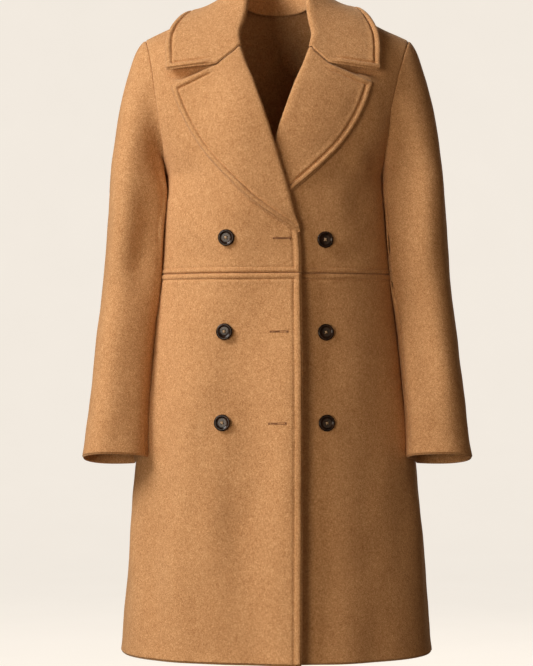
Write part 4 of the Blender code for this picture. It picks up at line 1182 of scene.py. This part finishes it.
def facing_panel(front):
    """The grid of a lapel: u from its return inside, round the roll, to the outer edge; v upwards."""
    outer_edge = outline(front.lapel)
    gorge_x = float(front.edge_x(GORGE_Z))
    bend = (front.notch.x - gorge_x) / (front.lapel[-1].x - gorge_x)
    dip = GORGE_Z + (front.lapel[-1].z - GORGE_Z) * bend - front.notch.z

    def place(u, v):
        column, reach, turn, share = fold_stops(u, FACING_RETURN)
        z = BREAK_Z + (GORGE_Z - GORGE_GAP / 2 - BREAK_Z) * v
        edge, normal = front_place(front.edge_x(z), z, 0.0, front.lapped)
        above, _ = front_place(front.edge_x(z + EDGE_STEP), z + EDGE_STEP, 0.0, front.lapped)
        below, _ = front_place(front.edge_x(z - EDGE_STEP), z - EDGE_STEP, 0.0, front.lapped)
        opening = unit(np.cross(normal, above - below)) * front.side
        inside = edge - normal * RETURN_GAP - opening * reach
        rolled = edge + normal * (LAYER - LAPEL_FOLD)
        rolled = rolled + LAPEL_FOLD * (opening * np.sin(turn) - normal * np.cos(turn))
        out_x, out_z = outer_edge(v)
        laid_x = front.edge_x(z) + (out_x - front.edge_x(z)) * share
        laid_z = z + (out_z - z) * share
        dipped = np.interp(share, (0, bend, 1), (0, dip, 0))
        laid_z = laid_z - dipped * ease((v - NOTCH_FROM) / (1 - NOTCH_FROM))
        spring = LAPEL_SPRING * ease(share) * ease(v / LAPEL_SPRINGS)
        height = LAYER + spring - LAYER_GAP * (1 - ease(v / BREAK_FLAT))
        laid, _ = front_place(laid_x, laid_z, height, front.lapped)
        return folded(column, inside, rolled, laid)

    return place


def neckline(station, front):
    """Course and share of the neck seam at a station of the collar, on one front's side."""
    behind = NECK_HALF * np.sin(np.clip(station, 0, 0.5) * pi)
    share_behind = share_of_x(np.full(np.shape(station), RIDGE), behind)
    z = (GORGE_Z + GORGE_GAP / 2) * np.clip(2 * station - 1, 0, 1) ** NECKLINE_PACE
    x = front.edge_x(z)
    course_ahead = course_of_place(x, z)
    ahead = station > 0.5
    course = np.where(ahead, course_ahead, 2 * RIDGE - back_neck_course(share_behind))
    return course, np.where(ahead, share_of_x(course_ahead, x), front.side * share_behind)


def collar_edge(front):
    """Course and share of the collar's outer edge, by station, on one front's side."""
    places = [(p.x * front.corner.x / COLLAR_HALF, p.z, p.behind) for p in COLLAR_EDGE]
    places.append((front.corner.x, front.corner.z, False))
    courses = []
    shares = []
    for x, z, behind in places:
        course = RIDGE if z is None else float(course_of_place(np.array(x), np.array(z), behind))
        courses.append(course)
        shares.append(float(share_of_x(np.array(course), np.array(x))))
    stations = [p.station for p in COLLAR_EDGE] + [1.0]
    return smooth_line(stations, courses), smooth_line(stations, shares)


def collar_half(station, v, front):
    """Places of the collar at stations from the centre back (0) to the gorge (1) on one side."""
    edge_course, edge_share = collar_edge(front)
    column, reach, turn, share = fold_stops(v, STAND_FOOT)
    course, neck_share = neckline(station, front)
    neck = skin(course, neck_share, 0.0, front.lapped)
    normal = body_normal(course, neck_share)
    ahead = skin(*neckline(np.clip(station + STATION_STEP, 0, 1), front), 0.0, front.lapped)
    before = skin(*neckline(np.clip(station - STATION_STEP, 0, 1), front), 0.0, front.lapped)
    along = unit(ahead - before)
    upright = np.expand_dims(smooth_line(*zip(*COLLAR_UPRIGHT))(station), -1)
    out = normal * (1 - upright) + unit(neck * (1.0, 1.0, 0.0)) * upright
    out = unit(out - along * np.sum(out * along, axis=-1, keepdims=True))
    up = np.cross(along, out) * front.side
    rise = up * np.expand_dims(smooth_line(*zip(*COLLAR_RISE))(station), -1)

    inside = neck - up * reach - out * RETURN_GAP
    rolled = neck + normal * (COLLAR_LAYER - COLLAR_FOLD) + rise
    rolled = rolled + COLLAR_FOLD * (up * np.sin(turn) - out * np.cos(turn))

    def laid_at(station):
        start_course, start_share = neckline(station, front)
        return skin(start_course + (edge_course(station) - start_course) * share,
                    start_share + (edge_share(station) - start_share) * share,
                    COLLAR_LAYER + COLLAR_SPRING * ease(share), front.lapped)

    laid = laid_at(station) + rise * np.expand_dims(np.clip(1 - share / COLLAR_REST, 0, 1) ** 2, -1)
    knots = (0, COLLAR_NOTCH_SHARE, 1)
    end_x = np.interp(share, knots, (float(front.edge_x(GORGE_Z)), front.notch.x, front.corner.x))
    end_z = np.interp(share, knots, (GORGE_Z, front.notch.z, front.corner.z)) + GORGE_GAP
    end, _ = front_place(end_x, end_z, COLLAR_LAYER + COLLAR_SPRING * ease(share), front.lapped)
    closing = np.expand_dims(ease((station - COLLAR_CLOSES) / (1 - COLLAR_CLOSES)), -1)
    laid = laid + (end - laid_at(np.ones(np.shape(station)))) * closing
    return folded(column, inside, rolled, laid)


def collar_place(u, v):
    """The grid of the collar: u from the right gorge round the back to the left one, v to the edge."""
    station = 2 * u - 1
    right = collar_half(np.abs(station), v, RIGHT_FRONT)
    left = collar_half(np.abs(station), v, LEFT_FRONT)
    return np.where(np.expand_dims(station, -1) < 0, right, left)


# ---- buttons and buttonholes ----------------------------------------------------------------------
BUTTON_RADIUS = 0.0125
BUTTON_THICKNESS = 0.0042
BUTTON_SHANK = 0.0016      # of thread, between the button and the cloth
BUTTON_STEPS = 56          # facets round the button
HOLE_RADIUS = 0.0011
HOLE_REACH = 0.0024        # from the button's middle to a hole's
HOLE_STEPS = 16
FIRST_TURN = -8            # degrees by which the first button of a row is turned
NEXT_TURN = 11             # and each next one more than the one before
DISH_HEIGHT = 0.68         # of the dish's floor, in thicknesses
STRAND_LEVELS = {45: 0.0005, 135: 0.0010}  # how far over it the strands of each diagonal lie
STRAND_STEPS = (-0.0006, 0.0, 0.0006)      # side by side on a diagonal
STRAND_LENGTH = 2.6 * HOLE_REACH  # from hole to hole and a little down into each
STRAND_RADIUS = 0.00055
SHANK_LENGTH = 1.8 * BUTTON_SHANK  # with what sinks into the button and the cloth
SHANK_RADIUS = 0.0022
SHARP = radians(40)        # between two faces of the button that meet in an edge
RIGHT_BUTTONS = (Place(-0.0755, -0.371), Place(-0.0790, -0.511), Place(-0.0820, -0.6465))
LEFT_BUTTONS = (Place(0.0706, -0.3735), Place(0.0720, -0.512), Place(0.0730, -0.647))
# The button's section from its middle out over the rim and back under, in radii and thicknesses.
BUTTON_SECTION = (
    (0.0, 0.66), (0.30, 0.65), (0.56, 0.68), (0.64, 0.72), (0.70, 0.86), (0.76, 0.97), (0.83, 1.0),
    (0.90, 0.97), (0.96, 0.86), (0.99, 0.70), (1.0, 0.52), (0.985, 0.36), (0.93, 0.20), (0.80, 0.06),
    (0.60, 0.0), (0.0, 0.0),
)
BUTTONHOLES = (Place(0.0075, -0.372), Place(0.0030, -0.511), Place(0.0005, -0.647))
SLIT = 0.0250              # a buttonhole's whole length
EYE_RADIUS = 0.0017        # of the round eye at its outer end
EYE_TURN = 145             # degrees to either side up to which stitches go round the eye
EYE_INSET = 0.0004         # how far in from the eye's rim they start
LIP = 0.0002               # from the slit's middle to its edges
HOLE_PITCH = 0.00085       # between its stitches
HOLE_STITCH = 0.0016       # their length
HOLE_STITCH_RADIUS = 0.00042
STITCH_LIFT = 0.0001       # how far the stitches' middles lie over the cloth
SLIT_LIFT = 0.0002         # and the slit's
BAR_LIFT = 0.0003          # and those of the bar tack and the eye
BAR_STITCHES = 4
BAR_PITCH = 0.0006
BAR_LENGTH = 0.0036
BAR_RADIUS = 0.0004
# widths of the dark strips of painted shade in each slit and eye
SLIT_SHADE_RADIUS = 0.0005
EYE_SHADE_RADIUS = 0.0012
LOOK_FROM = 0.05           # how far outside a front its face is looked for


def on_front(x, z, height, front):
    """The place seen at x and z on a front's finished outer face, moved out, and the way out there."""
    point, normal = front_place(x, z, CLOTH, front.lapped)
    half = "skirt" if z < WAIST_Z else "bodice"
    wall = bpy.data.objects[f"cloth_{front.name}_front_{half}"]
    wall = wall.evaluated_get(bpy.context.evaluated_depsgraph_get())
    hit, met, _, _ = wall.ray_cast(Vector(point + normal * LOOK_FROM), Vector(-normal))
    if not hit:
        raise RuntimeError(f"the {front.name} front isn't met at {x:.3f}, {z:.3f}")
    return np.array(met) + normal * height, normal


def button_mesh():
    """A turned button, dished within a rounded rim, with four holes."""
    profile = [(radius * BUTTON_RADIUS, height * BUTTON_THICKNESS) for radius, height in BUTTON_SECTION]
    blank = add_object("button_blank", mesh_of("button_blank", turned(profile, BUTTON_STEPS, 1e-6)))
    drills = bmesh.new()
    for k in range(4):
        place = Matrix.Rotation(radians(45 + 90 * k), 4, "Z") @ Matrix.Translation((HOLE_REACH, 0, 0))
        bmesh.ops.create_cone(drills, cap_ends=True, segments=HOLE_STEPS, radius1=HOLE_RADIUS,
                              radius2=HOLE_RADIUS, depth=3 * BUTTON_THICKNESS, matrix=place)
    drill = add_object("button_drills", mesh_of("button_drills", drills))
    holes = blank.modifiers.new("holes", "BOOLEAN")
    holes.object = drill
    holes.solver = "EXACT"
    mesh = bpy.data.meshes.new_from_object(blank.evaluated_get(bpy.context.evaluated_depsgraph_get()))
    for piece in (blank, drill):
        bpy.data.objects.remove(piece)
    mesh.shade_smooth()
    mesh.set_sharp_from_angle(angle=SHARP)
    mesh.materials.clear()
    mesh.materials.append(horn())
    return mesh


def sew_buttons(front):
    """The buttons of one front, each on its shank, and the thread that crosses their holes."""
    pattern = button_mesh()
    strands = []
    shanks = []
    for k, spot in enumerate(front.buttons):
        place, out = on_front(np.array(spot.x), np.array(spot.z), BUTTON_SHANK, front)
        spin = Matrix.Rotation(radians(NEXT_TURN * k + FIRST_TURN), 3, "Z")
        turn = Vector(out).to_track_quat("Z", "Y").to_matrix() @ spin
        mesh = pattern.copy()
        mesh.name = f"button_{front.name}_{k + 1}"
        mesh.transform(Matrix.Translation(place) @ turn.to_4x4())
        piece = add_object(mesh.name, mesh)
        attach(piece, "root")
        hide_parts(f"{front.name}_button_{k + 1}")
        rows = np.array(turn).T
        for diagonal, level in STRAND_LEVELS.items():
            ahead = cos(radians(diagonal)) * rows[0] + sin(radians(diagonal)) * rows[1]
            aside = np.cross(rows[2], ahead)
            height = DISH_HEIGHT * BUTTON_THICKNESS + level
            for step in STRAND_STEPS:
                strands.append((np.stack((ahead, aside, rows[2])), place + aside * step + out * height))
        shanks.append((np.stack((rows[2], rows[0], rows[1])), place - out * BUTTON_SHANK / 2))
    strand = joined_mesh(f"button_thread_{front.name}", stitch_shape(STRAND_LENGTH, STRAND_RADIUS),
                         strands, thread_finish("button_thread", BUTTON_THREAD_TONE))
    shank = joined_mesh(f"button_shank_{front.name}", stitch_shape(SHANK_LENGTH, SHANK_RADIUS),
                        shanks, hole_thread())


def keyhole():
    """Places round a keyhole slit and which way each stitch crosses its edge, in the slit's own plane."""
    half = SLIT / 2
    places = []
    for sign in (1, -1):
        for x in np.arange(-half, half - 2 * EYE_RADIUS, HOLE_PITCH):
            places.append(((x, sign * LIP), (0.0, sign)))
    eye = half - EYE_RADIUS
    reach = EYE_RADIUS - EYE_INSET
    for angle in np.arange(-EYE_TURN, EYE_TURN + 1, np.degrees(HOLE_PITCH / EYE_RADIUS)):
        way = (cos(radians(angle)), sin(radians(angle)))
        places.append(((eye + way[0] * reach, way[1] * reach), way))
    return places


def work_buttonholes():
    """Keyhole buttonholes worked in thread on the lapping front, each with a bar tack at its inner end, and
    a dark strip of painted shade over each slit and each eye.
    """
    stitches = []
    bars = []
    painted_slit_shades = []
    painted_eye_shades = []
    for spot in BUTTONHOLES:
        def at(x, z, height):
            return on_front(np.array(spot.x + x), np.array(spot.z + z), height, RIGHT_FRONT)

        for (x, z), (way_x, way_z) in keyhole():
            place, out = at(x + way_x * HOLE_STITCH / 2, z + way_z * HOLE_STITCH / 2, STITCH_LIFT)
            stitches.append((frames(np.array((way_x, 0.0, way_z)) + 1e-6, out), place))
        for k in range(BAR_STITCHES):
            place, out = at(-SLIT / 2 - k * BAR_PITCH, 0.0, BAR_LIFT)
            bars.append((frames(np.array((0.0, 0.0, 1.0)), out), place))
        # Painted shade: a dark strip over the slit and one over the eye, where the gap between the lips
        # lies in shadow.
        place, out = at(-EYE_RADIUS, 0.0, SLIT_LIFT)
        painted_slit_shades.append((frames(np.array((1.0, 0.0, 0.0)), out), place))
        place, out = at(SLIT / 2 - EYE_RADIUS, 0.0, BAR_LIFT)
        painted_eye_shades.append((frames(np.array((1.0, 0.0, 0.0)), out), place))
    # the painted shade's finish: a thread-like finish in the dark slit tone
    shade = thread_finish("slit_painted_shade", SLIT_PAINTED_SHADE_TONE)
    for name, length, radius, transforms, material in (
        ("stitches", HOLE_STITCH, HOLE_STITCH_RADIUS, stitches, hole_thread()),
        ("bars", BAR_LENGTH, BAR_RADIUS, bars, hole_thread()),
        ("painted_slit_shades", SLIT - 2 * EYE_RADIUS, SLIT_SHADE_RADIUS, painted_slit_shades, shade),
        ("painted_eye_shades", 2 * (EYE_RADIUS - EYE_INSET), EYE_SHADE_RADIUS, painted_eye_shades, shade),
    ):
        piece = joined_mesh("buttonhole_" + name, stitch_shape(length, radius), transforms, material)


# ---- the operators --------------------------------------------------------------------------------
Front = namedtuple("Front", "name side lapped edge_x lapel notch corner buttons")
RIGHT_FRONT = Front("right", -1, 1.0, edge_line(RIGHT_EDGE), RIGHT_LAPEL, RIGHT_NOTCH,
                    RIGHT_COLLAR_CORNER, RIGHT_BUTTONS)
LEFT_FRONT = Front("left", 1, 0.0, edge_line(LEFT_EDGE), LEFT_LAPEL, LEFT_NOTCH,
                   LEFT_COLLAR_CORNER, LEFT_BUTTONS)
FRONTS = (RIGHT_FRONT, LEFT_FRONT)
SLEEVE_CREASES = {"right": RIGHT_SLEEVE_CREASES, "left": LEFT_SLEEVE_CREASES}


class COAT_OT_fronts(bpy.types.Operator):
    """Builds the upper fronts and the front skirts, with the waist seam and edge topstitching"""
    bl_idname = "coat.fronts"
    bl_label = "Fronts"

    def execute(self, context):
        sizes = context.scene.coat_sizes
        under_lapel = (course_of_side(BREAK_Z + UNDER_LAPEL) - WAIST_COURSE) / (RIDGE - WAIST_COURSE)
        for front in FRONTS:
            mirrored = front.side < 0
            cloth_wall(
                f"{front.name}_front_bodice", front_panel(front, BODICE_COURSES),
                spaced(FRONT_BODICE.across, True, False), spaced(FRONT_BODICE.up, True, False),
                mirrored,
                (Seam("start", sizes.front_margin, BODICE_EDGE_DEPTH, high=under_lapel),
                 Seam("bottom", sizes.upper_margin, ABOVE_WAIST_DEPTH)),
                free=("start",), creases=BODY_CREASES + NOTCH_TROUGHS, lapped=front.lapped)
            cloth_wall(
                f"{front.name}_front_skirt", front_panel(front, SKIRT_COURSES),
                spaced(FRONT_SKIRT.across, True, False), spaced(FRONT_SKIRT.up, False, True),
                mirrored,
                (Seam("start", sizes.front_margin, SKIRT_EDGE_DEPTH),
                 Seam("top", sizes.lower_margin, BELOW_WAIST_DEPTH)),
                free=("start", "bottom"), lapped=front.lapped)
        return {"FINISHED"}


class COAT_OT_back(bpy.types.Operator):
    """Builds the upper back and the back skirt"""
    bl_idname = "coat.back"
    bl_label = "Back"

    def execute(self, context):
        sizes = context.scene.coat_sizes
        cloth_wall("back_bodice", back_bodice_place, spaced(BACK_BODICE.across, False, False),
                   spaced(BACK_BODICE.up, True, False), True,
                   (Seam("bottom", sizes.upper_margin, ABOVE_WAIST_DEPTH),))
        cloth_wall("back_skirt", back_skirt_place, spaced(BACK_SKIRT.across, False, False),
                   spaced(BACK_SKIRT.up, False, True), True,
                   (Seam("top", sizes.lower_margin, BELOW_WAIST_DEPTH),), free=("bottom",))
        return {"FINISHED"}


class COAT_OT_sleeves(bpy.types.Operator):
    """Builds the two-piece sleeves, open at the cuffs"""
    bl_idname = "coat.sleeves"
    bl_label = "Sleeves"

    def execute(self, context):
        front_seam = RIDGE * FRONT_SEAM_STEP / ARM_STEPS
        back_seam = RIDGE * BACK_SEAM_STEP_ROUND / ARM_STEPS
        for front in FRONTS:
            for piece, first, last, panel in (
                ("top", front_seam, back_seam, TOP_SLEEVE),
                ("under", back_seam, front_seam + 2 * RIDGE, UNDER_SLEEVE),
            ):
                cloth_wall(f"{front.name}_{piece}_sleeve", sleeve_panel(front.side, first, last),
                           spaced(panel.across, False, False), spaced(panel.up, False, False),
                           front.side > 0,
                           free=("top",), creases=SLEEVE_CREASES[front.name])
        return {"FINISHED"}


class COAT_OT_lapels(bpy.types.Operator):
    """Builds the lapels, folded round the roll line and topstitched along their edges"""
    bl_idname = "coat.lapels"
    bl_label = "Lapels"

    def execute(self, context):
        margin = context.scene.coat_sizes.lapel_margin
        for front in FRONTS:
            gorge_x = float(front.edge_x(GORGE_Z))
            notch = (front.notch.x - gorge_x) / (front.lapel[-1].x - gorge_x)
            past_notch = (ROLL_COLUMNS + notch * len(OUTER_STOPS)) / FOLD_COLUMNS
            cloth_wall(f"{front.name}_facing", facing_panel(front), np.linspace(0, 1, FOLD_COLUMNS),
                       spaced(LAPEL.up, False, True), front.side < 0,
                       (Seam("end", margin, low=LAPEL_STITCHES_FROM), Seam("top", margin, low=past_notch)),
                       free=("end", "top"), lapped=front.lapped,
                       faded="bottom")
        return {"FINISHED"}


class COAT_OT_collar(bpy.types.Operator):
    """Builds the collar, its stand inside the neckline and its fall outside"""
    bl_idname = "coat.collar"
    bl_label = "Collar"

    def execute(self, context):
        margin = context.scene.coat_sizes.collar_margin
        past_notch = (ROLL_COLUMNS + COLLAR_NOTCH_SHARE * len(OUTER_STOPS)) / FOLD_COLUMNS
        cloth_wall("collar", collar_place, spaced(COLLAR.across, True, True),
                   np.linspace(0, 1, FOLD_COLUMNS), False,
                   (Seam("top", margin), Seam("start", margin, low=past_notch),
                    Seam("end", margin, low=past_notch)),
                   free=("top", "start", "end"))
        return {"FINISHED"}


class COAT_OT_buttons(bpy.types.Operator):
    """Sews on the two rows of horn buttons and works the buttonholes"""
    bl_idname = "coat.buttons"
    bl_label = "Buttons and Buttonholes"

    def execute(self, context):
        for front in FRONTS:
            sew_buttons(front)
        work_buttonholes()
        return {"FINISHED"}


class COAT_OT_studio(bpy.types.Operator):
    """Sets up the pale round studio, its soft lights and the camera"""
    bl_idname = "coat.studio"
    bl_label = "Studio"

    def execute(self, context):
        make_backdrop()
        make_lights()
        make_camera()
        return {"FINISHED"}


STEPS = (COAT_OT_fronts, COAT_OT_back, COAT_OT_sleeves, COAT_OT_lapels, COAT_OT_collar,
         COAT_OT_buttons, COAT_OT_studio)


class COAT_PT_panel(bpy.types.Panel):
    """Lists the coat's pieces and settings"""
    bl_idname = "COAT_PT_panel"
    bl_label = "Coat"
    bl_space_type = "VIEW_3D"
    bl_region_type = "UI"
    bl_category = "Coat"

    def draw(self, context):
        for step in STEPS:
            self.layout.operator(step.bl_idname)
        for name in SETTINGS:
            settings = getattr(context.scene, name)
            box = self.layout.box()
            for field in settings.bl_rna.properties:
                if field.identifier not in ("name", "rna_type"):
                    box.prop(settings, field.identifier)


# ---- the studio -----------------------------------------------------------------------------------
FLOOR_Z = -1.50            # half a metre under the hem
DRUM_RADIUS = 8.5
DRUM_TOP = 7.0
DRUM_FILLET = 2.5          # radius of the curve between the floor and the wall
DRUM_STEPS = 72
FILLET_STEPS = 8
PAPER_TONE = (0.25, 0.23, 0.20, 1.0)  # of what the lights add to the backdrop's own glow
PAPER_GLOW = 0.93
LIT_MIDDLE = (0.0, 0.0, -0.45)        # what the lights turn to
LIT_FRONT = (0.0, 0.0, -0.65)
FRONT_POWER = 62.0
BEHIND_POWER = 55.0
WORLD_TONE = (1.0, 0.70, 0.46, 1.0)
WORLD_STRENGTH = 0.06
CAMERA_PLACE = (-0.0163, -3.5, -0.513)
CAMERA_LENS = 122.05       # on a 36 mm sensor along the frame's long side


def make_backdrop():
    """A round room whose floor curves up into its wall, pale and evenly lit."""
    profile = [(0.0, FLOOR_Z), (DRUM_RADIUS - DRUM_FILLET, FLOOR_Z)]
    for k in range(1, FILLET_STEPS + 1):
        turn = pi / 2 * k / FILLET_STEPS
        profile.append((DRUM_RADIUS - DRUM_FILLET + DRUM_FILLET * sin(turn),
                        FLOOR_Z + DRUM_FILLET * (1 - cos(turn))))
    profile.append((DRUM_RADIUS, DRUM_TOP))
    room = turned(profile, DRUM_STEPS, 1e-5)
    bmesh.ops.reverse_faces(room, faces=room.faces)
    mesh = mesh_of("backdrop", room)
    mesh.shade_smooth()
    made = Finish("pale_paper")
    tone = tuple(bpy.context.scene.coat_studio.backdrop)
    grain = made.noise(0.30, detail=4.0, rough=0.6)
    shade = made.ramp(grain, ((0.3, tuple(0.985 * c for c in tone)), (0.7, tone)))
    made.set(made.shader, "Base Color", PAPER_TONE)
    made.set(made.shader, "Emission Color", shade)
    made.shader.inputs["Emission Strength"].default_value = PAPER_GLOW
    made.shader.inputs["Roughness"].default_value = 0.9
    made.shader.inputs["Specular IOR Level"].default_value = 0.0
    mesh.materials.append(made.material)
    backdrop = add_object("backdrop", mesh)
    backdrop.visible_diffuse = False
    backdrop.visible_glossy = False


def add_light(name, place, target, size, power, tone):
    lamp = bpy.data.lights.new(name, "AREA")
    lamp.shape = "DISK"
    lamp.size = size
    lamp.energy = power
    lamp.color = tone
    light = add_object(name, lamp)
    light.location = place
    light.rotation_mode = "QUATERNION"
    light.rotation_quaternion = (Vector(target) - Vector(place)).to_track_quat("-Z", "Y")
    light.visible_camera = False


def make_lights():
    studio = bpy.context.scene.coat_studio
    for name, place, target, size, power, tone in (
        ("key", (-3.2, -1.6, 2.1), LIT_MIDDLE, 2.0, studio.key, (1.0, 0.965, 0.945)),
        ("fill", (1.1, -3.6, -0.2), LIT_MIDDLE, 2.2, studio.fill, (1.0, 0.74, 0.50)),
        ("front", (-1.9, -3.7, -0.5), LIT_FRONT, 1.6, FRONT_POWER, (1.0, 0.87, 0.72)),
        ("behind", (0.8, 3.4, 1.2), LIT_MIDDLE, 2.4, BEHIND_POWER, (1.0, 0.93, 0.85)),
    ):
        add_light(name, place, target, size, power, tone)
    world = bpy.data.worlds.new("studio")
    world.use_nodes = True
    glow = world.node_tree.nodes["Background"].inputs
    glow["Color"].default_value = WORLD_TONE
    glow["Strength"].default_value = WORLD_STRENGTH
    bpy.context.scene.world = world
    bpy.context.scene.view_settings.view_transform = "Standard"


def make_camera():
    lens = bpy.data.cameras.new("camera")
    lens.lens = CAMERA_LENS
    lens.sensor_width = 36.0
    camera = add_object("camera", lens)
    camera.location = CAMERA_PLACE
    camera.rotation_euler = (radians(90), 0.0, 0.0)
    bpy.context.scene.camera = camera


# ---- the add-on -----------------------------------------------------------------------------------
def register():
    for made in (*SETTINGS.values(), *STEPS, COAT_PT_panel):
        bpy.utils.register_class(made)
    for name, settings in SETTINGS.items():
        setattr(bpy.types.Scene, name, bpy.props.PointerProperty(type=settings))


def unregister():
    for name in SETTINGS:
        delattr(bpy.types.Scene, name)
    for made in reversed((*SETTINGS.values(), *STEPS, COAT_PT_panel)):
        bpy.utils.unregister_class(made)


def main():
    register()
    for step in STEPS:
        group, name = step.bl_idname.split(".")
        getattr(getattr(bpy.ops, group), name)()


if __name__ == "__main__":
    main()
